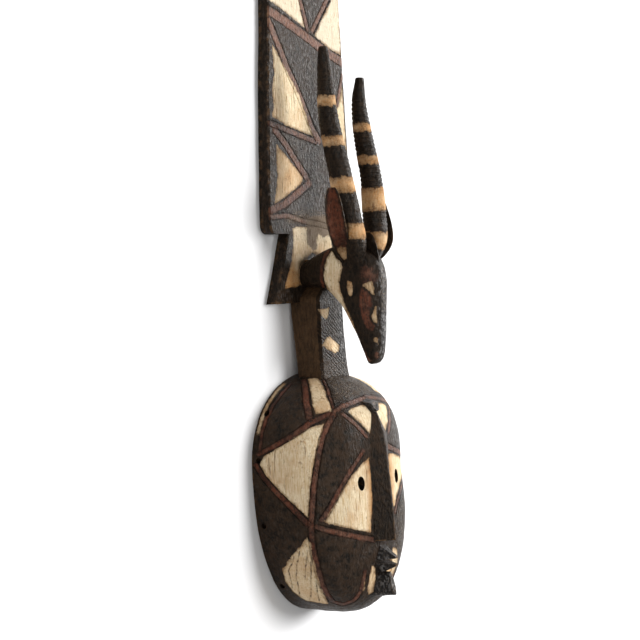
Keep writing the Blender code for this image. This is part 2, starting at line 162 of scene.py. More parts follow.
# How fine the carving is cut
MERGE = 0.00001
NOSE_RINGS, POST_RINGS, HEAD_RINGS, HEAD_SIDES, BOSS_RINGS, BEARD_SIDES = 62, 64, 84, 64, 9, 36
HORN_STEP, HORN_SIDES, LEAF_RINGS, LEAF_COLUMNS = 0.0012, 26, 46, 15
EYE_SIDES, TIE_HOLE_SIDES, NOSTRIL_SIDES = 32, 20, 14
FACE_CELLS, INSIDE_CELLS = 132, 44
BOARD_STEP, BOARD_COLUMNS, BOARD_BACK_COLUMNS = 0.0046, 52, 8
POST_STEPS = (1, 14, 2, 22, 2, 14, 1, 10)
ARC_SAMPLES, RIB_SAMPLES = 241, 721
GROOVE_HALF, GROOVE_DEPTH = 0.0014, 0.0011
SNAP = 0.0004

# Hand work: shallow hollows of the adze over the whole carving, and edges that wander a little
HEWN_SIZE, HEWN_LONG, HEWN_DEEP = 0.019, 2.4, 0.00075
FINE_SIZE, FINE_DEEP = 0.0080, 0.00032
WANDER_SIZE, WANDER, WANDER_SEED = 0.075, 0.0011, 7
SHARP_ANGLE = math.radians(40.0)
# What lies this near the floor stays flat
FLAT_BACK = 0.0003

MM = 0.001

# Paint on the plank and the flare, from the carved pattern: light fields as (stain, points), red bands as
# (half width, fading, points). Above the stretch that is known, its crossed bands simply go on.
PLANK_LIGHTS = (
    (-0.20, ((-96, 963), (1, 924), (-22, 985), (-88, 1105))),
    (-0.30, ((23, 914), (60, 896), (95, 886), (94, 1000), (62, 962))),
    (0.08, ((-91, 900), (-40, 842), (-20, 815), (0, 776), (14, 753), (0, 757), (-60, 771), (-96, 784),
            (-90, 800), (-92, 830), (-86, 850), (-87, 870))),
    (0.10, ((56, 868), (68, 826), (79, 800), (96, 842), (99, 780), (103, 712), (70, 733), (36, 752),
            (44, 800))),
    (0.50, ((-86, 742), (-54, 718), (-22, 692), (-20, 686), (-24, 681), (-60, 662), (-97, 647), (-91, 668),
            (-87, 690), (-88, 715))),
    (0.50, ((90, 694), (34, 658), (98, 638), (94, 664))),
    (0.12, ((-85, 1132), (2, 1215), (-84, 1318))),
    (0.15, ((90, 1032), (20, 1212), (84, 1338))),
    (0.20, ((-82, 1346), (-6, 1490), (-81, 1600))),
    (0.15, ((82, 1362), (8, 1490), (81, 1612))),
)
FLARE_LIGHT = ((-44, 613), (52, 611), (50, 584), (22, 575), (0, 571), (-12, 564), (-18, 550), (-24, 535),
               (-28, 521), (-50, 518), (-79, 516), (-68, 538), (-57, 560), (-51, 585))
FLARE_WORN = ((-16, 628), (-16, 585), (0, 572), (50, 580), (70, 596), (60, 632))
FLARE_PATCH = ((13, 592), (18, 598), (28, 592), (46, 596), (50, 584), (30, 578), (14, 580))
FLARE_STAIN_FOOT, FLARE_STAIN_TOP = 1.35, -0.05
FLARE_LIGHT_FOOT, FLARE_LIGHT_TOP, PLANK_WORN = 516, 592, 0.50
PLANK_FOOT_WORN = ((-70, 604), (-85, 634), (-40, 650), (60, 650), (104, 640), (104, 606), (60, 598))
# How far the flare's paint runs up the post's side: a step out of the board counts as this much across
PAINT_SLANT = 1.376
PLANK_BANDS = (
    (8.0, 0.80, ((-97, 947), (-40, 927), (0, 912), (40, 895), (100, 874))),
    (5.0, 0.70, ((6, 922), (-15, 978), (-88, 1120))),
    (5.0, 0.80, ((18, 922), (52, 962), (93, 1014))),
    (7.0, 0.85, ((-96, 930), (-80, 905), (-55, 866), (-30, 830), (-5, 790), (12, 764), (26, 748))),
    (5.0, 0.35, ((-104, 774), (-50, 762), (20, 746))),
    (6.5, 0.45, ((-90, 764), (-60, 740), (-30, 708), (-8, 688))),
    (7.0, 0.35, ((-108, 638), (-70, 648), (-30, 667), (-2, 681))),
    (4.5, 0.90, ((-110, 628), (-62, 630), (-24, 621), (13, 616), (44, 611))),
    (4.5, 0.70, ((97, 855), (84, 818), (79, 805))),
    (5.0, 0.60, ((-88, 1120), (10, 1215), (86, 1350))),
    (5.0, 0.60, ((93, 1014), (10, 1215), (-86, 1332))),
    (5.0, 0.50, ((-86, 1332), (0, 1490), (84, 1624))),
    (5.0, 0.50, ((86, 1350), (0, 1490), (-84, 1612))),
)

# Paint on the face's left half, and on its right one where that differs
FACE_LIGHTS = (
    (0.42, ((-110, 91), (-107, 110), (-92, 145), (-66, 183), (-45, 178), (-62, 150), (-76, 118), (-80, 89))),
    (0.28, ((-216, 8), (-206, 27), (-180, 42), (-150, 58), (-125, 70), (-101, 73), (-112, 52), (-122, 28),
            (-129, 0), (-135, -40), (-137, -83), (-150, -72), (-180, -45), (-205, -15))),
    (0.05, ((-55, 84), (-46, 89), (-20, 92), (-6, 89), (2, 80), (-8, 62), (-21, 44), (-45, 70))),
    (0.30, ((-137, -116), (-130, -126), (-127, -146), (-117, -172), (-102, -205), (-85, -230), (-73, -246),
            (-95, -272), (-120, -264), (-142, -244), (-156, -213), (-154, -175), (-147, -142))),
    (0.60, ((-27, -157), (-17, -166), (-13, -188), (-11, -207), (-24, -210), (-30, -196), (-31, -176))),
    (0.60, ((-41, -178), (-37, -186), (-36, -203), (-40, -204))),
)
EYE_LIGHTS = (
    (0.16, ((-28, 9), (-42, 1), (-62, -12), (-80, -31), (-95, -53), (-112, -80), (-117, -87), (-70, -98),
            (-30, -109), (-24, -60))),
    (0.10, ((24, 10), (60, 2), (98, -9), (124, -20), (98, -33), (64, -42), (48, -58), (38, -77), (24, -78))),
)
FACE_BANDS = (
    (4.8, 0.25, ((-79, 86), (-98, 68), (-112, 46), (-120, 22), (-124, 0), (-129, -30), (-131, -60),
                 (-133, -90), (-131, -115), (-126, -140), (-118, -165), (-106, -192), (-92, -215),
                 (-75, -232), (-58, -233), (-48, -218), (-43, -200), (-42, -168))),
    (5.0, 0.45, ((-79, 88), (-60, 95), (-30, 100), (0, 104))),
    (5.5, 0.10, ((-215, 32), (-185, 46), (-150, 63), (-120, 79), (-84, 87))),
    (4.0, 0.10, ((-214, 38), (-204, 78), (-190, 108), (-165, 139), (-130, 168), (-100, 188))),
    (6.0, 0.15, ((-121, 86), (-114, 118), (-96, 152), (-74, 184))),
    (3.0, 0.30, ((-77, 96), (-71, 118), (-57, 148), (-36, 178))),
    (5.5, 0.10, ((-222, 8), (-209, -20), (-186, -47), (-161, -71), (-138, -93))),
    (4.5, 0.40, ((-66, 82), (-48, 62), (-30, 42))),
)
EYE_BANDS = (
    (4.5, 0.30, ((-40, 20), (-58, 2), (-75, -17), (-92, -42), (-107, -66), (-118, -84))),
    (5.0, 0.45, ((-124, -96), (-80, -106), (-50, -114), (-22, -121))),
    (5.0, 0.55, ((14, 22), (50, 11), (97, -1), (128, -12))),
    (4.0, 0.40, ((38, -88), (50, -68), (66, -51), (98, -41), (128, -30))),
)
# The forehead's worn middle field, and what the nose's other side shows
CROWN_WORN = ((-74, 104), (-52, 150), (-36, 176), (-8, 178), (30, 160), (44, 120), (36, 106))
CROWN_LIGHT = ((46, 112), (36, 170), (62, 172), (84, 122), (74, 106))
CHEEK_WORN = ((36, -70), (100, -48), (126, -70), (126, -150), (95, -210), (50, -235), (22, -215), (24, -130))
CHEEK_LIGHT = ((27, -140), (46, -146), (54, -172), (40, -190), (30, -196), (30, -165))
# Cracks that open along the grain in the low light field
FACE_CRACKS = (
    ((-144, -148), (-142, -180), (-135, -212), (-111, -262)),
    ((-127, -160), (-120, -190), (-110, -222), (-95, -262)),
    ((-149, -165), (-148, -207), (-127, -252)),
    ((-134, -140), (-131, -175), (-124, -205)),
    ((-112, -195), (-100, -225), (-86, -250)),
)
# The light strip that hugs the face's rim, as directions from the right round to the left, and its place
RIM_STRIP_FROM, RIM_STRIP_TO, RIM_STRIP_INSET, RIM_STRIP_HALF = 118, 160, 0.0065, 0.0036

# Paint on the antelope's head, both sides alike; forward is as seen past the cheek
CHEEK_HALF, CHEEK_SHIFT = 0.029, 0.727
HEAD_LIGHTS = (
    (0.12, ((78, 574), (70, 565), (64, 553), (61, 540), (62, 528), (68, 512), (75, 500), (83, 486),
            (92, 474), (100, 466), (102, 484), (98, 497), (93, 510), (91, 525), (95, 537), (99, 546),
            (95, 555), (87, 562))),
    (0.80, ((100, 466), (110, 452), (118, 441), (125, 428), (129, 424), (127, 432), (119, 449), (113, 463),
            (108, 475), (102, 485))),
    (0.85, ((102, 522), (105, 528), (111, 527), (115, 524), (117, 512), (114, 502), (108, 502), (106, 510))),
    (0.45, ((131, 520), (142, 523), (154, 526), (157, 503), (152, 504), (144, 512))),
    (0.60, ((148, 469), (153, 480), (159, 488), (161, 474), (160, 458), (153, 462))),
    (0.60, ((149, 434), (155, 438), (162, 438), (161, 427), (156, 430))),
    (0.10, ((107, 545), (110, 549), (115, 548), (111, 543))),
)
HEAD_REDS = (
    (0.05, ((127, 517), (127, 482), (132, 466), (139, 452), (152, 446), (156, 456), (148, 464), (145, 472),
            (152, 490), (150, 503), (142, 511))),
    (0.70, ((131, 417), (134, 405), (143, 399), (150, 401), (140, 408), (134, 420))),
    (0.45, ((154, 414), (158, 417), (163, 413), (163, 407), (158, 403), (153, 408))),
)
FOREHEAD = ((126, 532), (136, 548), (152, 550), (165, 536), (162, 522), (140, 520))
BRIDGE_FROM, BRIDGE_TO = 0.155, 0.170
HEAD_BANDS = ((3.5, 0.15, ((76, 581), (64, 565), (57, 546), (57, 528), (62, 512), (70, 499), (82, 486))),)

POST_LIGHTS = (
    (0.30, ((-34, 483), (-5, 484), (-9, 472), (-17, 465), (-30, 473))),
    (0.30, ((-32, 426), (-18, 437), (-8, 439), (5, 430), (15, 424), (13, 413), (1, 411), (-15, 417))),
)
POST_BANDS = ((1.2, 0.30, ((-40, 424), (-25, 418), (-10, 410), (5, 405), (18, 401))),)

REGIONS = ("face", "inside", "board", "board_side", "back", "post", "post_side", "head", "horn_left",
           "horn_right", "ear_in", "ear_out", "crest", "nose", "knob", "lip", "beard", "hole")
FAR = 0.05
# How softly the worn places end
WEAR_EDGE, CHEEK_EDGE, FOOT_EDGE, PATCH_EDGE = 0.006, 0.016, 0.020, 0.012


def mix(low, high, share):
    return low + (high - low) * share


def smooth_through(stations, shares):
    """Points at these shares of a smooth curve through the stations (Catmull-Rom)."""
    knots = [2 * np.array(stations[0]) - np.array(stations[1]), *map(np.array, stations)]
    knots.append(2 * knots[-1] - knots[-2])
    found = []
    for place in np.array(shares) * (len(stations) - 1):
        start = min(int(place), len(stations) - 2)
        t = place - start
        a, b, c, d = knots[start : start + 4]
        bend = (2 * a - 5 * b + 4 * c - d) * t**2 + (3 * b - a - 3 * c + d) * t**3
        found.append(0.5 * (2 * b + (c - a) * t + bend))
    return found


def region_material(name):
    return bpy.data.materials.get(name) or bpy.data.materials.new(name)


def solid(name, points, faces, regions):
    """A closed mesh object; regions is one region's name, or a name for each face."""
    mesh = bpy.data.meshes.new(name)
    mesh.from_pydata([tuple(p) for p in points], [], [tuple(f) for f in faces])
    used = [regions] if isinstance(regions, str) else sorted(set(regions))
    for region in used:
        mesh.materials.append(region_material(region))
    if not isinstance(regions, str):
        mesh.polygons.foreach_set("material_index", [used.index(region) for region in regions])
    work = bmesh.new()
    work.from_mesh(mesh)
    bmesh.ops.remove_doubles(work, verts=work.verts, dist=MERGE)
    bmesh.ops.recalc_face_normals(work, faces=work.faces)
    bmesh.ops.triangulate(work, faces=work.faces)
    work.to_mesh(mesh)
    work.free()
    obj = bpy.data.objects.new(name, mesh)
    bpy.context.scene.collection.objects.link(obj)
    return obj


def ring_faces(levels, count):
    """The faces of a loft through rings of this many points, with its two flat ends."""
    faces = [list(range(count)), list(range((levels - 1) * count, levels * count))]
    for level in range(levels - 1):
        for i in range(count):
            here, there, j = level * count, (level + 1) * count, (i + 1) % count
            faces.append([here + i, here + j, there + j, there + i])
    return faces


def loft(name, rings, region):
    points = [p for ring in rings for p in ring]
    return solid(name, points, ring_faces(len(rings), len(rings[0])), region)


def densify(polygon, steps):
    """A closed polygon with each of its sides cut into this many steps."""
    found = []
    for i, count in enumerate(steps):
        a, b = np.array(polygon[i]), np.array(polygon[(i + 1) % len(polygon)])
        found += [tuple(mix(a, b, k / count)) for k in range(count)]
    return found


# The dome of the face

def oval_half(up):
    return np.where(up, FACE_LONG - FACE_WIDEST_AT, FACE_WIDEST_AT)


def oval_reach(across, along):
    """1 on the oval's outline and less inside it, for a place in halves of its width and length."""
    return (np.abs(across) ** OVAL_POWER + np.abs(along) ** OVAL_POWER) ** (1 / OVAL_POWER)


def rib_power(angle):
    """How square the dome is in section along the rib at this angle round the oval."""
    lengthwise = np.where(np.sin(angle) > 0, CROWN_POWER, CHIN_POWER)
    return mix(ACROSS_POWER, lengthwise, np.sin(angle) ** 2)


def ribs(angle, inset):
    """Where the rib at this angle meets the rim, across and along."""
    rim = 1 / oval_reach(np.cos(angle), np.sin(angle))
    wide = (FACE_WIDE / 2 - inset) * rim * np.cos(angle)
    long = (oval_half(np.sin(angle) > 0) - inset) * rim * np.sin(angle)
    return wide, long


def skin(x, y):
    """Height of the face's outer skin over a place on the oval."""
    across = x / (FACE_WIDE / 2)
    along = (y - FACE_WIDEST_AT) / oval_half(y > FACE_WIDEST_AT)
    power = rib_power(np.arctan2(along, across))
    return FACE_DEEP * (1 - np.minimum(1.0, oval_reach(across, along)) ** power) ** (1 / power)


class Dome:
    """A dome over the oval, with the length along its skin from the top to any point of each rib."""

    def __init__(self, inset, deep):
        self.inset, self.deep = inset, deep
        self.angles = np.linspace(-math.pi, math.pi, RIB_SAMPLES)
        self.turns = math.pi / 2 * (1 - np.cos(np.linspace(0, math.pi, ARC_SAMPLES))) / 2
        wide, long = ribs(self.angles, inset)
        power = rib_power(self.angles)[:, None]
        reach = np.maximum(np.cos(self.turns), 0)[None, :] ** (2 / power)
        rise = np.sin(self.turns)[None, :] ** (2 / power)
        steps = np.hypot(np.diff(reach) * np.hypot(wide, long)[:, None], np.diff(rise) * deep)
        self.arcs = np.concatenate([np.zeros((RIB_SAMPLES, 1)), np.cumsum(steps, axis=1)], axis=1)
        self.directions = np.unwrap(np.arctan2(long, wide))
        self.total = self.arcs[:, -1]

    def angle_towards(self, direction):
        return np.interp(direction, self.directions, self.angles)

    def places(self, u, v):
        """Places on the skin, as lengths from its top, for the square -1..1 drawn out over the oval."""
        x, y = u * np.sqrt(1 - v * v / 2), v * np.sqrt(1 - u * u / 2)
        angle = np.arctan2(y, x)
        wide, long = ribs(angle, self.inset)
        direction = np.arctan2(long, wide)
        length = np.minimum(1, np.hypot(x, y)) * np.interp(angle, self.angles, self.total)
        return np.stack([length * np.cos(direction), length * np.sin(direction)], axis=1)

    def points(self, places):
        angle = self.angle_towards(np.arctan2(places[:, 1], places[:, 0]))
        rows = (angle + math.pi) / (2 * math.pi) * (RIB_SAMPLES - 1)
        low = np.minimum(rows.astype(int), RIB_SAMPLES - 2)
        share = rows - low
        wide, long = ribs(angle, self.inset)
        power = rib_power(angle)
        gone = np.hypot(places[:, 0], places[:, 1])
        turn = np.empty(len(places))
        for i in range(len(places)):
            arcs = mix(self.arcs[low[i]], self.arcs[low[i] + 1], share[i])
            turn[i] = np.interp(arcs[-1] - gone[i], arcs, self.turns)
        reach = np.maximum(np.cos(turn), 0) ** (2 / power)
        rise = np.sin(turn) ** (2 / power)
        return np.stack([wide * reach, FACE_WIDEST_AT + long * reach, self.deep * rise], axis=1)

    def places_of(self, points):
        """The other way round: places on the skin of points that lie on it."""
        x, y, z = points[:, 0], points[:, 1] - FACE_WIDEST_AT, np.clip(points[:, 2] / self.deep, 0, 1)
        direction = np.arctan2(y, x)
        angle = self.angle_towards(direction)
        wide, long = ribs(angle, self.inset)
        power = rib_power(angle)
        reach = np.clip(np.hypot(x, y) / np.hypot(wide, long), 0, 1)
        turn = np.arctan2(z ** (power / 2), reach ** (power / 2))
        rows = (angle + math.pi) / (2 * math.pi) * (RIB_SAMPLES - 1)
        low = np.minimum(rows.astype(int), RIB_SAMPLES - 2)
        share = rows - low
        column = np.interp(turn, self.turns, np.arange(ARC_SAMPLES))
        first = np.minimum(column.astype(int), ARC_SAMPLES - 2)
        part = column - first
        length = np.zeros(len(points))
        for row, weight in ((low, 1 - share), (low + 1, share)):
            arc = mix(self.arcs[row, first], self.arcs[row, first + 1], part)
            length += weight * (self.total[row] - arc)
        return np.stack([length * np.cos(direction), length * np.sin(direction)], axis=1)


OUTER, INNER = Dome(0, FACE_DEEP), Dome(FACE_WALL, FACE_DEEP - FACE_WALL)


def grid(cells):
    """The square -1..1 as a grid: both coordinates of its points, and its triangles."""
    row = cells + 1
    steps = np.linspace(-1, 1, row)
    v, u = np.meshgrid(steps, steps, indexing="ij")
    tris = []
    for j in range(cells):
        for i in range(cells):
            a = j * row + i
            if (i < cells / 2) == (j < cells / 2):
                tris += [(a, a + 1, a + row + 1), (a, a + row + 1, a + row)]
            else:
                tris += [(a, a + 1, a + row), (a + 1, a + row + 1, a + row)]
    return u.ravel(), v.ravel(), np.array(tris)


def boundary(tris, points):
    """The points on the edge of a sheet, in order round the oval."""
    edges = np.sort(np.concatenate([tris[:, [0, 1]], tris[:, [1, 2]], tris[:, [2, 0]]]), axis=1)
    pairs, counts = np.unique(edges, axis=0, return_counts=True)
    rim = np.unique(pairs[counts == 1])
    around = np.arctan2(points[rim, 1] - FACE_WIDEST_AT, points[rim, 0])
    order = np.argsort(around)
    return rim[order], around[order]


def score(points, places, tris, usable, start, end, shift):
    """Cuts the triangles along a line that runs beside start-end, so that a groove has edges of its own."""
    start, end = np.array(start, float), np.array(end, float)
    length = np.linalg.norm(end - start)
    along = (end - start) / length
    away = places - start
    side = away[:, 0] * along[1] - away[:, 1] * along[0] - shift
    run = away @ along
    side[(np.abs(side) < SNAP) | ~usable | (run < -GROOVE_HALF) | (run > length + GROOVE_HALF)] = 0
    value = side[tris]
    crossed = value * np.roll(value, -1, axis=1) < 0
    hit = np.flatnonzero(crossed.any(axis=1))
    if not len(hit):
        return points, places, tris, usable
    new, fresh = {}, []
    for t in hit:
        corners, ring = [int(c) for c in tris[t]], []
        for k in range(3):
            a, b = corners[k], corners[(k + 1) % 3]
            ring.append(a)
            if crossed[t, k]:
                ring.append(new.setdefault((min(a, b), max(a, b)), len(points) + len(new)))
        added = [corner >= len(points) for corner in ring]
        first = added.index(True)
        if len(ring) == 5 and not added[(first + 2) % 5]:
            first = (first + 3) % 5
        ring = ring[first:] + ring[:first]
        fresh += [(ring[0], ring[k], ring[k + 1]) for k in range(1, len(ring) - 1)]
    a, b = np.array(list(new)).T
    share = (side[a] / (side[a] - side[b]))[:, None]
    points = np.concatenate([points, mix(points[a], points[b], share)])
    places = np.concatenate([places, mix(places[a], places[b], share)])
    usable = np.concatenate([usable, np.ones(len(a), bool)])
    tris = np.concatenate([np.delete(tris, hit, axis=0), np.array(fresh)])
    return points, places, tris, usable


def score_bands(sheet, bands, cracks=()):
    """Cuts the bands' borders and the cracks into the triangles, each as a groove's edges and its bottom."""
    lines = [(line, border * half * MM) for half, _, line in bands for border in (-1, 1)]
    for line, border in lines + [(line, 0.0) for line in cracks]:
        line = np.array(line) * MM
        for start, end in zip(line, line[1:]):
            for shift in (0, -GROOVE_HALF, GROOVE_HALF):
                sheet = score(*sheet, start, end, border + shift)
    return sheet


def mirrored(paints):
    """The same paints on the other half."""
    return tuple((*paint[:-1], tuple((-x, y) for x, y in paint[-1])) for paint in paints)


def face_bands():
    return FACE_BANDS + mirrored(FACE_BANDS) + EYE_BANDS


def next_turn(around, i):
    """The direction of the rim's point after this one, once round the oval."""
    if i >= len(around):
        return math.inf
    return around[i + 1] if i + 1 < len(around) else around[0] + 2 * math.pi


def face_shell():
    """The hollow oval face: a fine outer sheet with its grooves, a plainer inner one and the flat rim."""
    u, v, tris = grid(FACE_CELLS)
    places = OUTER.places(u, v)
    border, _ = boundary(tris, OUTER.points(places))
    usable = np.ones(len(places), bool)
    usable[border] = False
    flat = np.zeros((len(places), 3))
    flat, places, tris, usable = score_bands((flat, places, tris, usable), face_bands(), FACE_CRACKS)
    outer = OUTER.points(places)
    u, v, inner_tris = grid(INSIDE_CELLS)
    inner = INNER.points(INNER.places(u, v))
    rim, around = boundary(tris, outer)
    inner_rim, inner_around = boundary(inner_tris, inner)
    base = len(outer)
    faces = [tuple(t) for t in tris] + [tuple(base + c for c in t[::-1]) for t in inner_tris]
    regions = ["face"] * len(tris) + ["inside"] * len(inner_tris)
    i = j = 0
    while i < len(rim) or j < len(inner_rim):
        ahead, inner_ahead = next_turn(around, i), next_turn(inner_around, j)
        a, b = rim[i % len(rim)], base + inner_rim[j % len(inner_rim)]
        if ahead <= inner_ahead:
            i += 1
            faces.append((a, b, rim[i % len(rim)]))
        else:
            j += 1
            faces.append((a, b, base + inner_rim[j % len(inner_rim)]))
        regions.append("inside")
    return solid("mask_carving", np.concatenate([outer, inner]), faces, regions)


# The forms on the face

def nose():
    rings = []
    for y in np.linspace(NOSE_TOP, NOSE_BOTTOM, NOSE_RINGS):
        half = NOSE_HALF * min(1.0, mix(NOSE_APEX_SHARE, 1, (NOSE_TOP - y) / (NOSE_TOP - NOSE_FULL_AT)))
        down = ((NOSE_TOP - y) / (NOSE_TOP - NOSE_BOTTOM)) ** NOSE_CURVE
        ridge = skin(0, y) + mix(NOSE_PROUD_TOP, NOSE_PROUD, down)
        right = [(half, skin(half, y) - SINK), (half, skin(half, y)), (NOSE_RIDGE_HALF, ridge)]
        outline = right + [(-x, z) for x, z in reversed(right)]
        rings.append([(x, y, z) for x, z in densify(outline, (2, 9, 1, 9, 2, 2))])
    return loft("nose", rings, "nose")


def boss(name, outline, peak, steps, region):
    """A raised form on the face between its foot on the skin and its peak."""
    outline, peak = densify(outline, steps), densify(peak, steps)
    foot = [(x, y, float(skin(x, y)) - SINK) for x, y in outline]
    waist = [(x, y, float(skin(x, y))) for x, y in outline]
    rings = [foot]
    for share in np.linspace(0, 1, BOSS_RINGS):
        rings.append([tuple(mix(np.array(a), np.array(b), share)) for a, b in zip(waist, peak)])
    return loft(name, rings, region)


def lip(name, line, far, tip):
    outline = [(-LIP_HALF, line), (-LIP_FAR_HALF, far), (LIP_FAR_HALF, far), (LIP_HALF, line)]
    thick = math.copysign(LIP_TIP_THICK, far - line)
    peak = [(-LIP_TIP_HALF, tip, LIP_PEAK), (-LIP_TIP_HALF, tip + thick, LIP_PEAK)]
    peak += [(-x, y, z) for x, y, z in reversed(peak)]
    return boss(name, outline, peak, (8, 6, 8, 14), "lip")


def beard():
    outline, peak = [], []
    for turn in np.linspace(0, 2 * math.pi, BEARD_SIDES, endpoint=False):
        x, y = math.sin(turn), math.cos(turn)
        outline.append((BEARD_HALF * x, BEARD_Y + BEARD_TALL_HALF * y))
        ridge_y = BEARD_RIDGE_Y + BEARD_RIDGE_TALL_HALF * y
        peak.append((BEARD_RIDGE_HALF * x, ridge_y, BEARD_PEAK - BEARD_SLANT * y))
    return boss("beard", outline, peak, [1] * len(outline), "beard")


def brow_knob():
    outline = [(-KNOB_HALF, KNOB_SHOULDER), (0, KNOB_TOP), (KNOB_HALF, KNOB_SHOULDER)]
    outline += [(KNOB_BOTTOM_HALF, KNOB_BOTTOM), (-KNOB_BOTTOM_HALF, KNOB_BOTTOM)]
    middle = (KNOB_TOP + KNOB_BOTTOM) / 2
    crown = [(KNOB_CROWN_SHARE * x, mix(middle, y, KNOB_CROWN_SHARE)) for x, y in outline]
    peak = [(x, y, float(skin(x, y)) + KNOB_PROUD) for x, y in crown]
    return boss("brow_knob", outline, peak, (6, 6, 8, 4, 8), "knob")


# The plank, the flare and the post

def plank_half(y):
    """Half the plank's width: it narrows slowly from the foot up, and its corners are rounded."""
    share = min(1.0, (y - PLANK_FOOT) / PLANK_TAPER_LENGTH)
    half = mix(PLANK_HALF_FOOT, PLANK_HALF_TOP, share * share * (3 - 2 * share))
    near = min(CORNER, y - PLANK_FOOT, LENGTH - y)
    return half - CORNER + math.sqrt(max(0.0, CORNER**2 - (CORNER - near) ** 2))


def flare_half(y):
    return mix(FLARE_HALF_FOOT, FLARE_HALF_TOP, (y - FLARE_FOOT) / (PLANK_FOOT - FLARE_FOOT))


def slab(name, heights, half_at):
    """A board in one thickness with softened front edges, its bands' grooves scored on the front."""
    rings = []
    for y in heights:
        half = half_at(y)
        front = [(x, BOARD_THICK) for x in np.linspace(half - BOARD_EDGE, BOARD_EDGE - half, BOARD_COLUMNS)]
        sides = [(-half, BOARD_THICK - BOARD_EDGE), (-half, BOARD_THICK / 2)]
        back = [(x, 0.0) for x in np.linspace(-half, half, BOARD_BACK_COLUMNS)]
        ring = front + sides + back + [(-x, z) for x, z in reversed(sides)]
        rings.append([(x, y, z) for x, z in ring])
    count = len(rings[0])
    points = np.array([p for ring in rings for p in ring])
    tris = []
    for face in ring_faces(len(rings), count)[2:]:
        tris += [(face[0], face[1], face[2]), (face[0], face[2], face[3])]
    ends = [list(range(count))[::-1], list(range(len(points) - count, len(points)))]
    usable = points[:, 2] > BOARD_THICK - BOARD_EDGE / 4
    usable &= (points[:, 1] > heights[0]) & (points[:, 1] < heights[-1])
    points, _, tris, _ = score_bands((points, points[:, :2].copy(), np.array(tris), usable), PLANK_BANDS)
    heights = points[tris, 2]
    is_front = heights.min(axis=1) > BOARD_THICK - 1.5 * BOARD_EDGE
    is_back = heights.max(axis=1) < BOARD_EDGE / 4
    regions = np.where(is_front, "board", np.where(is_back, "back", "board_side")).tolist()
    return solid(name, points, [tuple(t) for t in tris] + ends, regions + ["board_side"] * 2)


def plank():
    corner = [CORNER * (1 - math.cos(t)) for t in np.linspace(0, math.pi / 2, 8)]
    middle = np.linspace(PLANK_FOOT + CORNER, LENGTH - CORNER, int((LENGTH - PLANK_FOOT) / BOARD_STEP))
    heights = [PLANK_FOOT + c for c in corner[:-1]] + list(middle)
    heights += [LENGTH - c for c in reversed(corner[:-1])]
    return slab("plank", heights, plank_half)


def flare():
    heights = np.linspace(FLARE_FOOT, PLANK_FOOT + FLARE_LAP, int((PLANK_FOOT - FLARE_FOOT) / BOARD_STEP) + 2)
    return slab("flare", list(heights), flare_half)


def post():
    rings = []
    for share in np.linspace(0, 1, POST_RINGS):
        y = mix(POST_FOOT, POST_TOP, share)
        front = mix(POST_FRONT_HALF_FOOT, POST_FRONT_HALF_TOP, min(1, 2 * share))
        deep = mix(POST_DEEP_TOP, POST_DEEP_FOOT, (1 - share) ** POST_SPREAD)
        low = max(POST_BACK, POST_HOLLOW_BACK * (1 - share / POST_HOLLOW_SHARE))
        right = [(POST_HALF - POST_EDGE, low), (POST_HALF, low + POST_EDGE)]
        right += [(front, deep - POST_EDGE), (front - POST_EDGE, deep)]
        outline = right + [(-x, z) for x, z in reversed(right)]
        narrowed = (y - POST_NARROWS_FROM) / (POST_NARROWS_TO - POST_NARROWS_FROM)
        narrow = mix(1, POST_TOP_SHARE, min(1, max(0, narrowed)))
        rings.append([(x * narrow, y, z) for x, z in densify(outline, POST_STEPS)])
    names = ("back", "post_side", "post", "post", "post", "post_side", "back", "back")
    around = [name for name, count in zip(names, POST_STEPS) for _ in range(count)]
    regions = ["post", "post"] + around * (len(rings) - 1)
    points = [p for ring in rings for p in ring]
    return solid("post", points, ring_faces(len(rings), len(rings[0])), regions)


# The antelope

def head():
    rings = []
    stations = np.linspace(0, 1, HEAD_RINGS)
    for section in smooth_through(HEAD_SECTIONS, stations):
        crown, throat, half, narrower = section[0:2], section[2:4], section[4], section[5]
        middle, reach = (crown + throat) / 2, (crown - throat) / 2
        ring = []
        for turn in np.linspace(0, 2 * math.pi, HEAD_SIDES, endpoint=False):
            across = math.copysign(abs(math.cos(turn)) ** (2 / HEAD_POWER), math.cos(turn))
            along = math.copysign(abs(math.sin(turn)) ** (2 / HEAD_POWER), math.sin(turn))
            y, z = middle + reach * along
            ring.append((half * across * (1 - narrower * (1 + along) / 2), y, z))
        rings.append(ring)
    return loft("head", rings, "head")


def is_ringed(side, height, tip):
    """Whether the horn is notched at this height: not near its tip or root, nor in a light band."""
    in_light = any(low < height < high for low, high in LIGHT_BANDS[side])
    return not in_light and HORN_AXIS[0][1] + SMOOTH_ROOT < height < tip - SMOOTH_TIP + RING_HALF


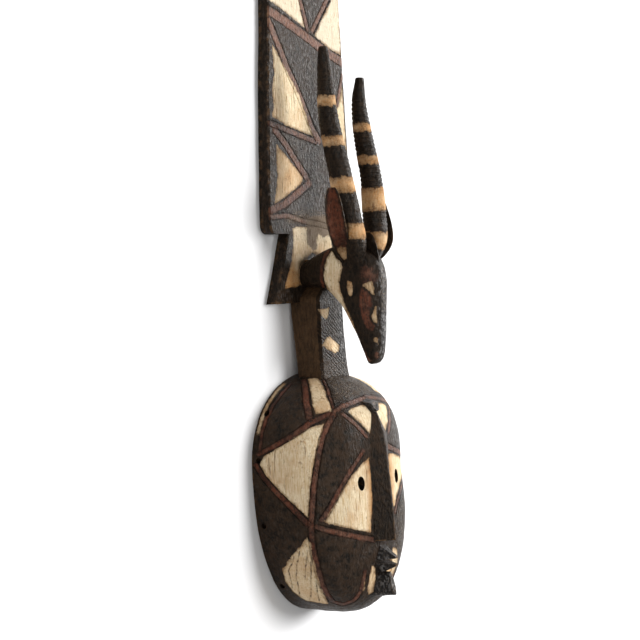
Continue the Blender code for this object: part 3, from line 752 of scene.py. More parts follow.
def horn(side):
    path = np.array(smooth_through([*HORN_AXIS, HORN_TIPS[side]], np.linspace(0, 1, 200)))
    root, tip = path[0][1], path[-1][1]
    rings = []
    heights = list(np.linspace(root, tip - HORN_TIP_ROUND, int((tip - root) / HORN_STEP)))
    heights += [tip - HORN_TIP_ROUND * (1 - math.sin(t)) for t in np.linspace(0.3, 1.45, 4)]
    for height in heights:
        x, z = (np.interp(height, path[:, 1], path[:, k]) for k in (0, 2))
        radius = HORN_TIP + HORN_SWELL * (1 - math.exp((height - tip) / HORN_SWELL_LENGTH))
        radius = min(radius, HORN_ROOT + HORN_ROOT_SPREAD * (height - root))
        steps = (tip - SMOOTH_TIP - height) / RING_PITCH
        off = abs(steps - round(steps)) * RING_PITCH
        if off < RING_HALF and is_ringed(side, height, tip):
            radius -= RING_DEPTHS[side] * (1 - off / RING_HALF)
        to_tip = tip - height
        if to_tip < HORN_TIP_ROUND:
            radius -= HORN_TIP_ROUND * (1 - math.sqrt(1 - (1 - to_tip / HORN_TIP_ROUND) ** 2))
        turns = np.linspace(0, 2 * math.pi, HORN_SIDES, endpoint=False)
        ring = [(side * x + radius * math.cos(t), z + HORN_DEEPER * radius * math.sin(t)) for t in turns]
        rings.append([(a, height, b) for a, b in ring])
    return loft("horn", rings, "horn_left" if side < 0 else "horn_right")


def leaf_width(share):
    """The leaf's width at this share of its length, as a share of its greatest width."""
    if share > LEAF_WIDEST:
        return math.sqrt(max(0.0, 1 - ((share - LEAF_WIDEST) / LEAF_TIP_REACH) ** LEAF_TIP_POWER))
    return mix(LEAF_ROOT, 1, math.sin(math.pi / 2 * share / LEAF_WIDEST))


def leaf(name, axis, spread, facing, half, thick, hollow, front_region, back_region):
    """A leaf-shaped blade along its axis, widest above the middle, hollowed on the side it faces."""
    spread, facing = Vector(spread), Vector(facing)
    shares = 1 - (1 - np.linspace(0, 1, LEAF_RINGS)) ** 1.5
    back_places = np.linspace(-1, 1, LEAF_COLUMNS)
    front_places = np.linspace(LEAF_FRONT, -LEAF_FRONT, LEAF_COLUMNS)
    rings = []
    for share, centre in zip(shares, smooth_through(axis, shares)):
        width = leaf_width(share)
        middle = Vector(centre) + facing * (hollow * width / 2)
        back = [(s, thick * (LEAF_BACK - s * s) + hollow * width * (1 - s * s)) for s in back_places]
        front = [(s, hollow * width * (1 - s * s)) for s in front_places]
        rings.append([tuple(middle + spread * (half * width * s) - facing * d) for s, d in back + front])
    count = len(rings[0])
    faces = ring_faces(len(rings), count)
    behind = len(back_places) - 1
    regions = [back_region, back_region]
    for k in range(len(faces) - 2):
        regions.append(front_region if behind < k % count < count - 1 else back_region)
    return solid(name, [p for ring in rings for p in ring], faces, regions)


def ear(side):
    axis = [(side * x, y, z) for x, y, z in EAR_AXES[side]]
    spread = (-side * math.cos(EAR_TURN), 0, math.sin(EAR_TURN))
    facing = (side * math.sin(EAR_TURN), 0, math.cos(EAR_TURN))
    return leaf("ear", axis, spread, facing, EAR_HALF, EAR_THICK, EAR_HOLLOW, "ear_in", "ear_out")


def crest():
    slope = (Vector(CREST_TIP) - Vector(CREST_FOOT)).normalized()
    axis = [CREST_FOOT, CREST_TIP]
    spread = (0, -slope.z, slope.y)
    return leaf("crest", axis, spread, (1, 0, 0), CREST_HALF, CREST_THICK, -CREST_SWELL, "crest", "crest")


def hole(name, centre, half_sizes, along_x, sides):
    rings = []
    for end in np.linspace(-HOLE_REACH, HOLE_REACH, 2):
        ring = []
        for turn in np.linspace(0, 2 * math.pi, sides, endpoint=False):
            a, b = half_sizes[0] * math.cos(turn), half_sizes[1] * math.sin(turn)
            x, y, z = (end, a, b) if along_x else (a, b, end)
            ring.append((centre[0] + x, centre[1] + y, centre[2] + z))
        rings.append(ring)
    return loft(name, rings, "hole")


def holes():
    found = []
    for side in (-1, 1):
        eye = (side * EYE_X, EYE_Y, float(skin(EYE_X, EYE_Y)))
        found.append(hole("eye", eye, (EYE_WIDE / 2, EYE_TALL / 2), False, EYE_SIDES))
        for y in TIE_HOLE_YS:
            along = abs(y - FACE_WIDEST_AT) / float(oval_half(y > FACE_WIDEST_AT))
            wall = FACE_WIDE / 2 * (1 - along**OVAL_POWER) ** (1 / OVAL_POWER) - FACE_WALL / 2
            centre = (side * wall, y, TIE_HOLE_RISE)
            found.append(hole("tie_hole", centre, (TIE_HOLE / 2, TIE_HOLE / 2), True, TIE_HOLE_SIDES))
    return found


def nostril(side):
    """A small round pit in the muzzle."""
    rings = []
    for rise in np.linspace(-0.96, 0.96, 7):
        radius = NOSTRIL_RADIUS * math.sqrt(1 - rise * rise)
        turns = np.linspace(0, 2 * math.pi, NOSTRIL_SIDES, endpoint=False)
        ring = [(radius * math.cos(t), radius * math.sin(t), NOSTRIL_RADIUS * rise) for t in turns]
        rings.append([(side * NOSTRIL_X + x, NOSTRIL_Y + y, NOSTRIL_Z + z) for x, y, z in ring])
    return loft("nostril", rings, "hole")


def carve():
    """All forms as one closed mesh, in which each face still knows the region it came from."""
    mask = face_shell()
    raised = [post(), plank(), flare(), head(), nose(), brow_knob(), beard()]
    raised += [lip("upper_lip", *UPPER_LIP), lip("lower_lip", *LOWER_LIP)]
    raised += [horn(-1), horn(1), ear(-1), ear(1), crest()]
    cut = holes() + [nostril(-1), nostril(1)]
    for piece in raised + cut:
        step = mask.modifiers.new(piece.name, "BOOLEAN")
        step.operation = "DIFFERENCE" if piece in cut else "UNION"
        step.solver = "MANIFOLD"
        step.material_mode = "TRANSFER"
        step.object = piece
    evaluated = mask.evaluated_get(bpy.context.evaluated_depsgraph_get())
    carved = bpy.data.meshes.new_from_object(evaluated)
    mask.modifiers.clear()
    mask.data = carved
    for piece in raised + cut:
        bpy.data.objects.remove(piece, do_unlink=True)
    work = bmesh.new()
    work.from_mesh(carved)
    bmesh.ops.triangulate(work, faces=work.faces)
    work.to_mesh(carved)
    work.free()
    return mask


# Where the paint goes

def to_segments(places, line):
    """The least distance from each place to a line through points."""
    best = np.full(len(places), np.inf)
    for a, b in zip(line, line[1:]):
        run = b - a
        share = np.clip((places - a) @ run / (run @ run), 0, 1)
        best = np.minimum(best, np.linalg.norm(places - a - share[:, None] * run, axis=1))
    return best


def inside_distance(places, polygon):
    """The distance to a polygon's outline, positive inside it and negative outside."""
    polygon = np.array(polygon) * MM
    closed = np.concatenate([polygon, polygon[:1]])
    low, high = polygon.min(axis=0) - FAR, polygon.max(axis=0) + FAR
    near = np.all((places > low) & (places < high), axis=1)
    found = np.full(len(places), -FAR)
    here = places[near]
    within = np.zeros(len(here), bool)
    for (x0, y0), (x1, y1) in zip(closed, closed[1:]):
        if y0 != y1:
            spans = (here[:, 1] < y0) != (here[:, 1] < y1)
            within ^= spans & (here[:, 0] < x0 + (here[:, 1] - y0) * (x1 - x0) / (y1 - y0))
    distance = to_segments(here, closed)
    found[near] = np.where(within, distance, -distance)
    return found


class Paint:
    """What the paint needs to know at each place: signed distances in metres, and shades from 0 to 1."""

    def __init__(self, count):
        self.light = np.full(count, -FAR)
        self.red = np.full(count, -FAR)
        self.groove = np.full(count, FAR)
        self.stain, self.fade, self.bare = np.zeros(count), np.zeros(count), np.zeros(count)
        self.dust, self.worn, self.raw = np.zeros(count), np.zeros(count), np.zeros(count)
        self.hatch = np.zeros(count)

    def lay_light(self, distance, stain):
        self.stain = np.where(distance > self.light, stain, self.stain)
        self.light = np.maximum(self.light, distance)

    def lay_red(self, distance, fade):
        self.fade = np.where(distance > self.red, fade, self.fade)
        self.red = np.maximum(self.red, distance)

    def wear(self, distance, share, edge=WEAR_EDGE):
        self.worn = np.maximum(self.worn, share * np.clip(0.5 + distance / (2 * edge), 0, 1))

    def lay(self, places, lights=(), bands=(), reds=()):
        for stain, polygon in lights:
            self.lay_light(inside_distance(places, polygon), stain)
        for fade, polygon in reds:
            self.lay_red(inside_distance(places, polygon), fade)
        for half, fade, line in bands:
            off = to_segments(places, np.array(line) * MM)
            self.lay_red(half * MM - off, fade)
            self.groove = np.minimum(self.groove, np.abs(off - half * MM))


def paint_face(paint, points):
    places = OUTER.places_of(points)
    paint.lay(places, FACE_LIGHTS + mirrored(FACE_LIGHTS) + EYE_LIGHTS, face_bands())
    paint.lay(places, ((0.10, CROWN_LIGHT), (0.25, CHEEK_LIGHT)))
    direction = np.degrees(np.arctan2(places[:, 1], -np.abs(places[:, 0])))
    length = np.hypot(places[:, 0], places[:, 1])
    rim = np.interp(np.arctan2(places[:, 1], places[:, 0]), OUTER.directions, OUTER.total)
    across = RIM_STRIP_HALF - np.abs(rim - length - RIM_STRIP_INSET)
    ends = np.minimum(direction - RIM_STRIP_FROM, RIM_STRIP_TO - direction) * math.radians(1) * length
    paint.lay_light(np.minimum(across, np.maximum(ends * 0.25, -FAR)), 0.45)
    paint.wear(inside_distance(places, CROWN_WORN), 0.43)
    paint.wear(inside_distance(places, CHEEK_WORN), 0.40, CHEEK_EDGE)
    for line in FACE_CRACKS:
        paint.groove = np.minimum(paint.groove, to_segments(places, np.array(line) * MM))
    paint.bare[:] = np.clip(0.70 - points[:, 0] / FACE_WIDE, 0.25, 1.0)
    # Blue-grey flecks, partly dust and partly painted sheen, growing towards the lit right side of the face
    paint.dust[:] = np.clip(0.25 + points[:, 0] * 4, 0.08, 0.6)
    beside_nose = np.clip(1 - (np.abs(points[:, 0]) - NOSE_HALF) / NOSE_STAIN, 0, 1)
    beside_nose[(points[:, 1] < NOSE_BOTTOM) | (points[:, 1] > NOSE_FULL_AT)] = 0
    paint.stain = np.maximum(paint.stain, beside_nose * 1.2)


def paint_flare(paint, places):
    paint.lay(places, PLANK_LIGHTS, PLANK_BANDS)
    share = (places[:, 1] / MM - FLARE_LIGHT_FOOT) / (FLARE_LIGHT_TOP - FLARE_LIGHT_FOOT)
    stain = mix(FLARE_STAIN_FOOT, FLARE_STAIN_TOP, np.clip(share, 0, 1))
    for polygon in (FLARE_LIGHT, tuple((-x, y) for x, y in FLARE_LIGHT)):
        paint.lay_light(inside_distance(places, polygon), stain)
    paint.wear(inside_distance(places, FLARE_WORN), 0.80)
    patch = inside_distance(places, FLARE_PATCH)
    paint.lay_light(patch, 0.0)
    paint.worn *= np.clip(0.5 - patch / PATCH_EDGE, 0, 1)


def paint_board(paint, points):
    paint_flare(paint, points[:, :2])
    foot = inside_distance(points[:, :2], PLANK_FOOT_WORN)
    paint.wear(foot, PLANK_WORN, FOOT_EDGE)
    # Blue-grey flecks, partly dust and partly painted sheen, more up the plank
    paint.dust[:] = np.clip((points[:, 1] - PLANK_FOOT) / 0.060, 0.35, 0.65)
    paint.bare[:] = np.clip(0.60 - points[:, 0] * 2, 0.30, 0.8)


def paint_board_side(paint, points):
    paint.bare[:] = 0.45
    paint.dust[:] = 0.10


def paint_post(paint, points):
    paint.lay(points[:, :2], POST_LIGHTS, POST_BANDS)
    # Towards the right edge, where the light falls, blue-grey flecks and wash that are partly dust and partly
    # painted sheen; towards the left, brown where the black is rubbed through
    rightwards = np.clip(0.5 + points[:, 0] / POST_HALF, 0, 1)
    paint.dust[:] = rightwards
    paint.bare[:] = 1 - 0.8 * rightwards
    paint.worn[:] = 0.15 + 0.25 * np.clip((0.415 - points[:, 1]) / 0.020, 0, 1)
    paint.hatch[:] = 1.0


def paint_post_side(paint, points):
    across = -np.abs(points[:, 0]) + (points[:, 2] - BOARD_THICK) * PAINT_SLANT
    paint_flare(paint, np.stack([across, points[:, 1]], axis=1))
    paint.light[points[:, 2] < BOARD_THICK - BOARD_EDGE] = -FAR
    paint.red[:], paint.groove[:], paint.worn[:] = -FAR, FAR, 0
    paint.bare[:] = 1.0
    paint.raw[:] = 0.40


def paint_head(paint, points):
    forward = points[:, 2] + (CHEEK_HALF - np.abs(points[:, 0])) * CHEEK_SHIFT
    paint.lay(np.stack([forward, points[:, 1]], axis=1), HEAD_LIGHTS, HEAD_BANDS, HEAD_REDS)
    forehead = inside_distance(np.stack([forward, points[:, 1]], axis=1), FOREHEAD)
    paint.lay_red(forehead * 0.25, 0.45)
    # The nose's bridge gets blue-grey flecks and wash as painted highlights, and is worn towards the top
    bridge = np.clip((forward - BRIDGE_FROM) / (BRIDGE_TO - BRIDGE_FROM), 0, 1)
    paint.dust[:] = bridge
    paint.worn[:] = 0.42 * bridge * np.clip((points[:, 1] - 0.420) / 0.060, 0.3, 1)
    paint.bare[:] = 0.35


def paint_horn(side):
    def lay(paint, points):
        for low, high in LIGHT_BANDS[side]:
            paint.lay_light(HORN_BURNT * np.minimum(points[:, 1] - low, high - points[:, 1]), 0.95)
        paint.bare[:] = 0.25
    return lay


def paint_ear_inside(paint, points):
    """Red-brown inside a dark rim, and rubbed down to tan at the ear's root."""
    shares = np.linspace(0, 1, 60)
    for side in (-1, 1):
        own = points[:, 0] * side > 0
        axis = np.array([(side * x, y, z) for x, y, z in smooth_through(EAR_AXES[side], shares)])
        nearest = np.abs(points[own, 1:2] - axis[None, :, 1]).argmin(axis=1)
        spread = np.array((-side * math.cos(EAR_TURN), 0, math.sin(EAR_TURN)))
        off = np.abs((points[own] - axis[nearest]) @ spread)
        half = EAR_HALF * np.array([leaf_width(share) for share in shares])[nearest]
        paint.red[own] = half - off - EAR_RIM
        root = EAR_RUBBED - np.abs(shares[nearest] - EAR_RUBBED_AT)
        paint.light[own] = np.minimum(half - off - 1.5 * EAR_RIM, root * EAR_RUBBED_LENGTH)
    paint.stain[:] = 0.95
    paint.bare[:] = 0.3


def paint_dark(bare, dust, worn=0.0):
    def lay(paint, points):
        paint.bare[:], paint.dust[:], paint.worn[:] = bare, dust, worn
    return lay


def paint_nose(paint, points):
    paint.bare[:] = np.clip((points[:, 1] - NOSE_BOTTOM) / (NOSE_TOP - NOSE_BOTTOM), 0.2, 1)


def paint_inside(paint, points):
    paint.raw[:] = 1.0


PAINTERS = {
    "face": paint_face,
    "inside": paint_inside,
    "hole": paint_dark(0.3, 0.0),
    "back": paint_inside,
    "board": paint_board,
    "board_side": paint_board_side,
    "post": paint_post,
    "post_side": paint_post_side,
    "head": paint_head,
    "horn_left": paint_horn(-1),
    "horn_right": paint_horn(1),
    "ear_in": paint_ear_inside,
    "ear_out": paint_dark(0.35, 0.2),
    "crest": paint_dark(0.25, 0.2),
    "nose": paint_nose,
    # Knob, lips and beard: full blue-grey flecks and wash, partly dust and partly painted sheen, and worn
    "knob": paint_dark(0.0, 1.0, 0.38),
    "lip": paint_dark(0.0, 1.0, 0.38),
    "beard": paint_dark(0.0, 1.0, 0.38),
}
SHADES = ("light", "red", "groove", "stain", "fade", "bare", "dust", "worn", "raw", "hatch")
NOSE_STAIN = 0.022
HORN_BURNT = 0.42
EAR_RIM, EAR_RUBBED_AT, EAR_RUBBED, EAR_RUBBED_LENGTH = 0.0024, 0.22, 0.13, 0.05
# Painted shade and grime in recesses: how far and with how many rays each point looks round
GRIME_AND_SHADE_REACH, GRIME_AND_SHADE_RAYS, RAY_LIFT = 0.032, 10, 0.0006
EDGE_SCALE = 2.2


def recesses(mesh, points, normals, wanted):
    """How hemmed in each point is by the carving near it, from 0 in the open to 1; the colour darkens with it
    as painted shade and grime in recesses.
    """
    polygons = [tuple(p.vertices) for p in mesh.polygons]
    tree = BVHTree.FromPolygons([Vector(p) for p in points], polygons)
    turns = np.arange(GRIME_AND_SHADE_RAYS) * math.pi * (3 - math.sqrt(5))
    rise = np.sqrt((np.arange(GRIME_AND_SHADE_RAYS) + 0.5) / GRIME_AND_SHADE_RAYS)
    flat = np.sqrt(1 - rise**2)
    rays = np.stack([flat * np.cos(turns), flat * np.sin(turns), rise], axis=1)
    found = np.zeros(len(points))
    for i in np.flatnonzero(wanted):
        normal = Vector(normals[i])
        frame = normal.to_track_quat("Z", "Y").to_matrix()
        start = Vector(points[i]) + normal * RAY_LIFT
        for ray in rays:
            distance = tree.ray_cast(start, frame @ Vector(ray), GRIME_AND_SHADE_REACH)[3]
            if distance is not None:
                found[i] += (1 - distance / GRIME_AND_SHADE_REACH) / GRIME_AND_SHADE_RAYS
    return found


def ridges(mesh, points, normals):
    """How much each point stands out from its neighbours: above 0 on edges, below 0 in hollows."""
    ends = np.empty(len(mesh.edges) * 2, int)
    mesh.edges.foreach_get("vertices", ends)
    a, b = ends.reshape(-1, 2).T
    run = points[b] - points[a]
    length = np.maximum(np.linalg.norm(run, axis=1), 1e-6)
    total, count = np.zeros(len(points)), np.zeros(len(points))
    for here, sign in ((a, -1), (b, 1)):
        np.add.at(total, here, sign * np.einsum("ij,ij->i", run, normals[here]) / length)
        np.add.at(count, here, 1)
    return total / np.maximum(count, 1)


def paint_carving(mask):
    """Stores the paint's distances and shades on the mesh, and cuts the grooves and the marks of the adze."""
    mesh = mask.data
    points = np.empty(len(mesh.vertices) * 3)
    mesh.vertices.foreach_get("co", points)
    points = points.reshape(-1, 3)
    normals = np.empty(len(mesh.vertices) * 3)
    mesh.vertex_normals.foreach_get("vector", normals)
    normals = normals.reshape(-1, 3)
    corners = np.empty(len(mesh.loops), int)
    mesh.loops.foreach_get("vertex_index", corners)
    slots = np.empty(len(mesh.polygons), int)
    mesh.polygons.foreach_get("material_index", slots)
    region_of_corner = np.repeat(slots, 3)
    shades = {shade: np.zeros(len(corners), np.float32) for shade in SHADES}
    depth = np.zeros(len(points))
    for slot, material in enumerate(mesh.materials):
        here = region_of_corner == slot
        used = np.unique(corners[here])
        if not len(used):
            continue
        paint = Paint(len(used))
        if material.name in PAINTERS:
            PAINTERS[material.name](paint, points[used])
        row = np.zeros(len(points), int)
        row[used] = np.arange(len(used))
        for shade in SHADES:
            shades[shade][here] = getattr(paint, shade)[row[corners[here]]]
        if material.name in ("face", "board"):
            depth[used] = GROOVE_DEPTH * np.clip(1 - paint.groove / GROOVE_HALF, 0, 1)
    painted = np.zeros(len(points), bool)
    painted[corners[shades["raw"] < 0.5]] = True
    # Painted shade and grime in recesses, kept with the paint's shades
    shades["grime_and_shade"] = recesses(mesh, points, normals, painted)[corners].astype(np.float32)
    shades["edge"] = np.clip(ridges(mesh, points, normals) * EDGE_SCALE, -1, 1)[corners].astype(np.float32)
    for shade, shown in shades.items():
        values = mesh.attributes.new(f"paint_{shade}", "FLOAT", "CORNER")
        values.data.foreach_set("value", shown)
    moved = points - normals * depth[:, None]
    noise.seed_set(WANDER_SEED)
    for i, point in enumerate(points):
        place = Vector(point)
        long = Vector((place.x, place.y / HEWN_LONG, place.z))
        hewn = noise.noise(long / HEWN_SIZE) * HEWN_DEEP + noise.noise(place / FINE_SIZE) * FINE_DEEP
        wander = noise.noise_vector(place / WANDER_SIZE) * WANDER
        moved[i] += normals[i] * hewn
        moved[i, :2] += wander[:2]
    moved[:, 2] = np.where(points[:, 2] < FLAT_BACK, points[:, 2], np.maximum(moved[:, 2], 0))
    moved[:, 1] -= LENGTH / 2
    mesh.vertices.foreach_set("co", moved.ravel().astype(np.float32))
    mesh.update()


# The painted wood's material

class Nodes:
    """Short ways to add shader nodes to one material."""

    def __init__(self, material):
        self.tree = material.node_tree
        self.count = 0

    def add(self, kind, values=(), **settings):
        node = self.tree.nodes.new(kind)
        self.count += 1
        node.location = (200 * (self.count % 12), -220 * (self.count // 12))
        for name, value in settings.items():
            setattr(node, name, value)
        for key, value in dict(values).items():
            if isinstance(value, bpy.types.NodeSocket):
                self.tree.links.new(value, node.inputs[key])
            else:
                node.inputs[key].default_value = value
        return node

    def shade(self, name):
        return self.add("ShaderNodeAttribute", attribute_name=f"paint_{name}").outputs["Fac"]

    def math(self, operation, a, b=0.0):
        return self.add("ShaderNodeMath", {0: a, 1: b}, operation=operation).outputs[0]

    def times(self, a, b):
        return self.math("MULTIPLY", a, b)

    def plus(self, a, b):
        return self.math("ADD", a, b)

    def stretched(self, vector, scale):
        return self.add("ShaderNodeMapping", {"Vector": vector, "Scale": scale}).outputs["Vector"]

    def noise(self, vector, scale, detail=4.0, roughness=0.6, lacunarity=2.0):
        values = {"Vector": vector, "Scale": scale, "Detail": detail, "Roughness": roughness}
        values["Lacunarity"] = lacunarity
        return self.add("ShaderNodeTexNoise", values).outputs["Fac"]

    def step(self, value, low, high, to_low=0.0, to_high=1.0):
        values = {"Value": value, "From Min": low, "From Max": high, "To Min": to_low, "To Max": to_high}
        node = self.add("ShaderNodeMapRange", values, interpolation_type="SMOOTHSTEP", clamp=True)
        return node.outputs["Result"]

    def mix(self, share, a, b):
        node = self.add("ShaderNodeMix", data_type="RGBA", clamp_factor=True)
        for key, value in (("Factor", share), ("A", a), ("B", b)):
            sockets = [s for s in node.inputs if s.name == key and (key == "Factor" or s.type == "RGBA")]
            socket = sockets[0]
            if isinstance(value, bpy.types.NodeSocket):
                self.tree.links.new(value, socket)
            else:
                socket.default_value = value if key == "Factor" else (*value, 1.0)
        return [s for s in node.outputs if s.type == "RGBA"][0]



CREAM, CREAM_BRIGHT = (0.58, 0.435, 0.255), (0.80, 0.69, 0.50)
OCHRE, OCHRE_DARK = (0.42, 0.195, 0.062), (0.115, 0.044, 0.014)
RED_DEEP, RED_MID, RED_PALE = (0.045, 0.013, 0.007), (0.135, 0.040, 0.020), (0.200, 0.100, 0.066)
BLACK, BLACK_SOFT = (0.0022, 0.0013, 0.0006), (0.018, 0.0110, 0.0062)
BLUE_SOFT = (0.050, 0.055, 0.063)
BLUE_GREY, WORN, WORN_DARK = (0.225, 0.222, 0.222), (0.215, 0.162, 0.115), (0.075, 0.052, 0.036)
CHALK = (0.67, 0.61, 0.50)
BROWN, WOOD, WOOD_DARK = (0.034, 0.0185, 0.0095), (0.180, 0.098, 0.045), (0.050, 0.024, 0.010)
# Dark groove lines, and the colour of the painted shade and grime in recesses
GROOVE_COLOUR, GRIME_AND_SHADE = (0.008, 0.0045, 0.003), (0.014, 0.007, 0.0035)


HATCH_TURN, HATCH_SCALE = math.radians(-48.0), 62.0


def painted_wood():
    """Matt earth paint in cream, black and red-brown over hewn wood, worn, stained and cracked; painted shade
    and grime darken its recesses, and painted sheen mixes with the blue-grey dust.
    """
    material = bpy.data.materials.new("painted_wood")
    material.use_nodes = True
    nodes = Nodes(material)
    shader = material.node_tree.nodes["Principled BSDF"]
    place = nodes.add("ShaderNodeTexCoord").outputs["Object"]
    along, thread = nodes.stretched(place, (1.0, 0.22, 1.0)), nodes.stretched(place, (1.0, 0.06, 1.0))
    blotch = nodes.noise(place, 30.0, 5.0)
    patch = nodes.noise(place, 85.0, 6.0, 0.65)
    fleck = nodes.noise(place, 520.0, 4.0, 0.7)
    scaly = nodes.stretched(place, (1.0, 0.45, 1.0))
    crust = nodes.noise(scaly, 240.0, 6.0, 0.80)
    pits = nodes.noise(scaly, 300.0, 2.0, 0.5)
    turned = {"Vector": place, "Rotation": (0, 0, HATCH_TURN)}
    slanted = nodes.add("ShaderNodeMapping", turned).outputs["Vector"]
    waves = {"Vector": slanted, "Scale": HATCH_SCALE, "Distortion": 5.0, "Detail": 3.0, "Detail Scale": 1.6}
    hatch = nodes.add("ShaderNodeTexWave", waves).outputs["Fac"]
    hatched = nodes.times(nodes.shade("hatch"), nodes.step(blotch, 0.42, 0.58, 0.25, 1.0))
    hatch = nodes.times(hatch, hatched)
    grain = nodes.noise(along, 300.0, 5.0, 0.7)
    fibre = nodes.noise(thread, 700.0, 3.0, 0.6)
    crack = nodes.noise(thread, 210.0, 3.0, 0.6)
    grime_and_shade, edge, worn = nodes.shade("grime_and_shade"), nodes.shade("edge"), nodes.shade("worn")

    # Borders wander by a millimetre or two, more where the paint has faded
    wander = nodes.times(nodes.math("SUBTRACT", nodes.noise(place, 110.0, 6.0, 0.75), 0.5), 0.0090)
    frayed = nodes.times(nodes.math("SUBTRACT", grain, 0.5), nodes.shade("fade"))
    light = nodes.plus(nodes.shade("light"), wander)
    red = nodes.plus(nodes.plus(nodes.shade("red"), wander), nodes.times(frayed, 0.008))
    on_light = nodes.step(light, -0.0003, 0.0008)
    on_red = nodes.step(red, -0.0008, 0.0010)

    # Black ground: brown where it is rubbed through; blue-grey flecks and a blue-grey wash that are partly
    # dust and partly painted sheen, standing for the glints of the light
    rises = nodes.times(nodes.plus(crust, pits), 0.5)
    black = nodes.mix(nodes.step(rises, 0.46, 0.56), BLACK, BLACK_SOFT)
    brown = nodes.times(nodes.shade("bare"), nodes.step(patch, 0.36, 0.60))
    black = nodes.mix(brown, black, BROWN)
    rubbed = nodes.times(nodes.step(grain, 0.56, 0.70), nodes.step(blotch, 0.45, 0.62))
    black = nodes.mix(nodes.times(rubbed, nodes.shade("bare")), black, WOOD_DARK)
    dusty = nodes.times(nodes.step(patch, 0.40, 0.58, 0.10, 1.0), nodes.step(blotch, 0.35, 0.60, 0.35, 1.0))
    thick = nodes.times(nodes.step(nodes.shade("dust"), 0.6, 1.0), 0.03)
    dust = nodes.times(nodes.step(nodes.plus(rises, thick), 0.52, 0.57), dusty)
    # A blue-grey wash and blue-grey flecks, partly dust and partly painted sheen, where that shade is high
    black = nodes.mix(nodes.times(nodes.step(nodes.shade("dust"), 0.6, 1.0), 0.22), black, BLUE_SOFT)
    black = nodes.mix(nodes.times(dust, nodes.times(nodes.shade("dust"), 0.85)), black, BLUE_GREY)

    black = nodes.mix(nodes.times(nodes.step(hatch, 0.30, 0.80), 0.60), black, BLACK)

    # Red-brown bands, dark in their middle and paler where they have faded
    faded = nodes.plus(nodes.shade("fade"), nodes.step(patch, 0.34, 0.68, -0.35, 0.35))
    red_paint = nodes.mix(nodes.step(blotch, 0.40, 0.60), RED_DEEP, RED_MID)
    red_paint = nodes.mix(faded, red_paint, RED_PALE)
    red_paint = nodes.mix(nodes.step(crust, 0.48, 0.60, 0.0, 0.75), red_paint, BLACK_SOFT)
    red_paint = nodes.mix(nodes.step(red, 0.0035, 0.0, 0.0, 0.70), red_paint, GROOVE_COLOUR)

    # Cream fields, brown at their borders and along the grain
    cream = nodes.mix(nodes.step(fibre, 0.34, 0.60), CREAM, CREAM_BRIGHT)
    stained = nodes.plus(nodes.shade("stain"), nodes.step(blotch, 0.30, 0.70, 0.28, -0.28))
    cream = nodes.mix(nodes.step(nodes.shade("stain"), 0.10, -0.30, 0.0, 0.75), cream, CHALK)
    cream = nodes.mix(nodes.times(stained, 0.9), cream, OCHRE)
    border = nodes.math("SUBTRACT", nodes.times(patch, 0.0120), light)
    cream = nodes.mix(nodes.step(border, 0.0010, 0.0060, 0.0, 0.80), cream, OCHRE_DARK)
    cream = nodes.mix(nodes.step(grain, 0.54, 0.70, 0.0, 0.55), cream, OCHRE)
    cream = nodes.mix(nodes.step(crack, 0.62, 0.72, 0.0, 0.80), cream, OCHRE_DARK)
    gone = nodes.times(nodes.step(crust, 0.55, 0.62), nodes.step(patch, 0.42, 0.60, 0.15, 1.0))
    cream = nodes.mix(nodes.times(gone, 0.75), cream, OCHRE_DARK)
    cream = nodes.mix(nodes.step(fleck, 0.40, 0.62, 0.35, 0.0), cream, CREAM)

    colour = nodes.mix(on_red, black, red_paint)
    colour = nodes.mix(on_light, colour, cream)
    rubbed_off = nodes.mix(nodes.step(patch, 0.48, 0.66, 0.0, 0.55), WORN, WORN_DARK)
    share = nodes.step(nodes.plus(worn, nodes.math("SUBTRACT", fleck, 0.5)), 0.42, 0.60)
    colour = nodes.mix(share, colour, rubbed_off)
    line = nodes.plus(nodes.shade("groove"), nodes.times(wander, 0.25))
    patchy = nodes.step(patch, 0.38, 0.58, 0.90, 0.15)
    strength = nodes.times(nodes.step(line, 0.0003, 0.0016, 1.0, 0.0), patchy)
    strength = nodes.times(strength, nodes.step(nodes.shade("fade"), 0.2, 0.9, 1.0, 0.45))
    colour = nodes.mix(strength, colour, GROOVE_COLOUR)
    # Painted shade and grime: darker brown in the recesses of the carving
    shade = nodes.step(nodes.plus(grime_and_shade, nodes.times(nodes.math("SUBTRACT", patch, 0.5), 0.3)), 0.06, 0.45)
    colour = nodes.mix(nodes.times(shade, 0.85), colour, GRIME_AND_SHADE)
    knocked = nodes.times(nodes.step(edge, 0.18, 0.60), nodes.step(patch, 0.48, 0.62))
    colour = nodes.mix(nodes.times(knocked, 0.45), colour, WOOD)
    wood = nodes.mix(nodes.step(grain, 0.35, 0.70), WOOD, WOOD_DARK)
    wood = nodes.mix(nodes.step(blotch, 0.40, 0.65, 0.0, 0.6), wood, WOOD_DARK)
    colour = nodes.mix(nodes.shade("raw"), colour, wood)
    material.node_tree.links.new(colour, shader.inputs["Base Color"])

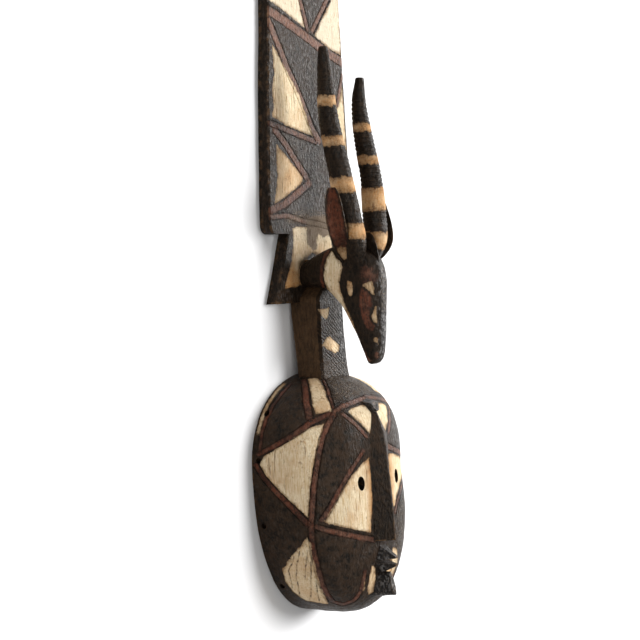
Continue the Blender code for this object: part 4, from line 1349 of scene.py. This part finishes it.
    rough = nodes.times(crust, nodes.step(on_light, 0.0, 1.0, 1.0, 0.45))
    height = nodes.plus(rough, nodes.times(nodes.plus(grain, patch), 0.5))
    height = nodes.plus(height, nodes.times(pits, nodes.step(on_light, 0.0, 1.0, 0.9, 0.2)))
    height = nodes.math("SUBTRACT", height, nodes.times(hatch, 0.35))
    height = nodes.plus(height, nodes.times(on_light, 0.20))
    bump = nodes.add("ShaderNodeBump", {"Height": height, "Strength": 0.9, "Distance": 0.0036})
    material.node_tree.links.new(bump.outputs["Normal"], shader.inputs["Normal"])
    dull = nodes.mix(nodes.math("MAXIMUM", on_light, share), (0.44, 0.44, 0.44), (0.82, 0.82, 0.82))
    shine = nodes.plus(dull, nodes.step(patch, 0.3, 0.7, -0.10, 0.12))
    material.node_tree.links.new(shine, shader.inputs["Roughness"])
    shader.inputs["Specular IOR Level"].default_value = 0.15
    shader.inputs["Specular Tint"].default_value = (1.0, 0.90, 0.80, 1.0)
    return material


# The floor, the light and the camera
FLOOR_SIZE, FLOOR_GAP = 14.0, 0.0006
FLOOR_COLOUR = (0.82, 0.82, 0.83, 1.0)
CAMERA_TURN, CAMERA_TILT, CAMERA_ROLL = math.radians(54.0), math.radians(-3.0), math.radians(1.83)
CAMERA_DISTANCE, FRAME_WIDTH, SENSOR = 3.0, 0.640 / 0.63, 36.0
AIM_HEIGHT, AIM_DEPTH = 0.4635, 0.0299
KEY_FROM, KEY_DISTANCE, KEY_SIZE, KEY_POWER = (0.42, 0.10, 0.90), 3.2, 1.4, 112.0
RIM_FROM, RIM_DISTANCE, RIM_SIZE, RIM_POWER = (0.93, 0.15, 0.34), 3.0, 1.2, 75.0
SKY_COLOUR, SKY_STRENGTH = (1.0, 0.99, 0.97, 1.0), 0.54


def floor():
    mesh = bpy.data.meshes.new("floor")
    work = bmesh.new()
    bmesh.ops.create_grid(work, x_segments=2, y_segments=2, size=FLOOR_SIZE / 2)
    work.to_mesh(mesh)
    work.free()
    plane = bpy.data.objects.new("floor", mesh)
    plane.location.z = -FLOOR_GAP
    bpy.context.scene.collection.objects.link(plane)
    material = bpy.data.materials.new("pale_floor")
    material.use_nodes = True
    shader = material.node_tree.nodes["Principled BSDF"]
    shader.inputs["Base Color"].default_value = FLOOR_COLOUR
    shader.inputs["Roughness"].default_value = 0.9
    mesh.materials.append(material)


def lamp(name, direction, distance, size, power):
    """A soft round lamp that shines on the middle of the picture."""
    light = bpy.data.lights.new(name, "AREA")
    light.shape = "DISK"
    light.size = size
    light.energy = power
    obj = bpy.data.objects.new(name, light)
    direction = Vector(direction).normalized()
    obj.location = direction * distance + Vector((0, AIM_HEIGHT - LENGTH / 2, 0))
    obj.rotation_euler = direction.to_track_quat("Z", "Y").to_euler()
    bpy.context.scene.collection.objects.link(obj)


def lighting():
    lamp("soft_key", KEY_FROM, KEY_DISTANCE, KEY_SIZE, KEY_POWER)
    lamp("soft_rim", RIM_FROM, RIM_DISTANCE, RIM_SIZE, RIM_POWER)
    world = bpy.data.worlds.new("studio")
    world.use_nodes = True
    sky = world.node_tree.nodes["Background"]
    sky.inputs["Color"].default_value = SKY_COLOUR
    sky.inputs["Strength"].default_value = SKY_STRENGTH
    bpy.context.scene.world = world


def camera():
    turn, tilt = CAMERA_TURN, CAMERA_TILT
    towards = Vector((-math.sin(turn) * math.cos(tilt), -math.sin(tilt), math.cos(turn) * math.cos(tilt)))
    up = Vector((0, 1, 0)) - towards * towards.y
    up.normalize()
    right = up.cross(towards)
    rolled_up = up * math.cos(CAMERA_ROLL) + right * math.sin(CAMERA_ROLL)
    rolled_right = right * math.cos(CAMERA_ROLL) - up * math.sin(CAMERA_ROLL)
    lens = bpy.data.cameras.new("camera")
    lens.sensor_width = SENSOR
    lens.lens = SENSOR * CAMERA_DISTANCE / FRAME_WIDTH
    view = bpy.data.objects.new("camera", lens)
    place = Vector((0, AIM_HEIGHT - LENGTH / 2, AIM_DEPTH)) + towards * CAMERA_DISTANCE
    facing = Matrix((rolled_right, rolled_up, towards)).transposed().to_4x4()
    view.matrix_world = Matrix.Translation(place) @ facing
    bpy.context.scene.collection.objects.link(view)
    bpy.context.scene.camera = view


def build():
    mask = carve()
    paint_carving(mask)
    mask.data.materials.clear()
    mask.data.materials.append(painted_wood())
    mask.data.polygons.foreach_set("material_index", np.zeros(len(mask.data.polygons), int))
    mask.data.shade_smooth()
    mask.data.set_sharp_from_angle(angle=SHARP_ANGLE)
    for name in REGIONS:
        if name in bpy.data.materials:
            bpy.data.materials.remove(bpy.data.materials[name])
    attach(mask, "root")
    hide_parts("plank_mask")
    floor()
    lighting()
    camera()
    bpy.context.scene.view_settings.view_transform = "Standard"


build()
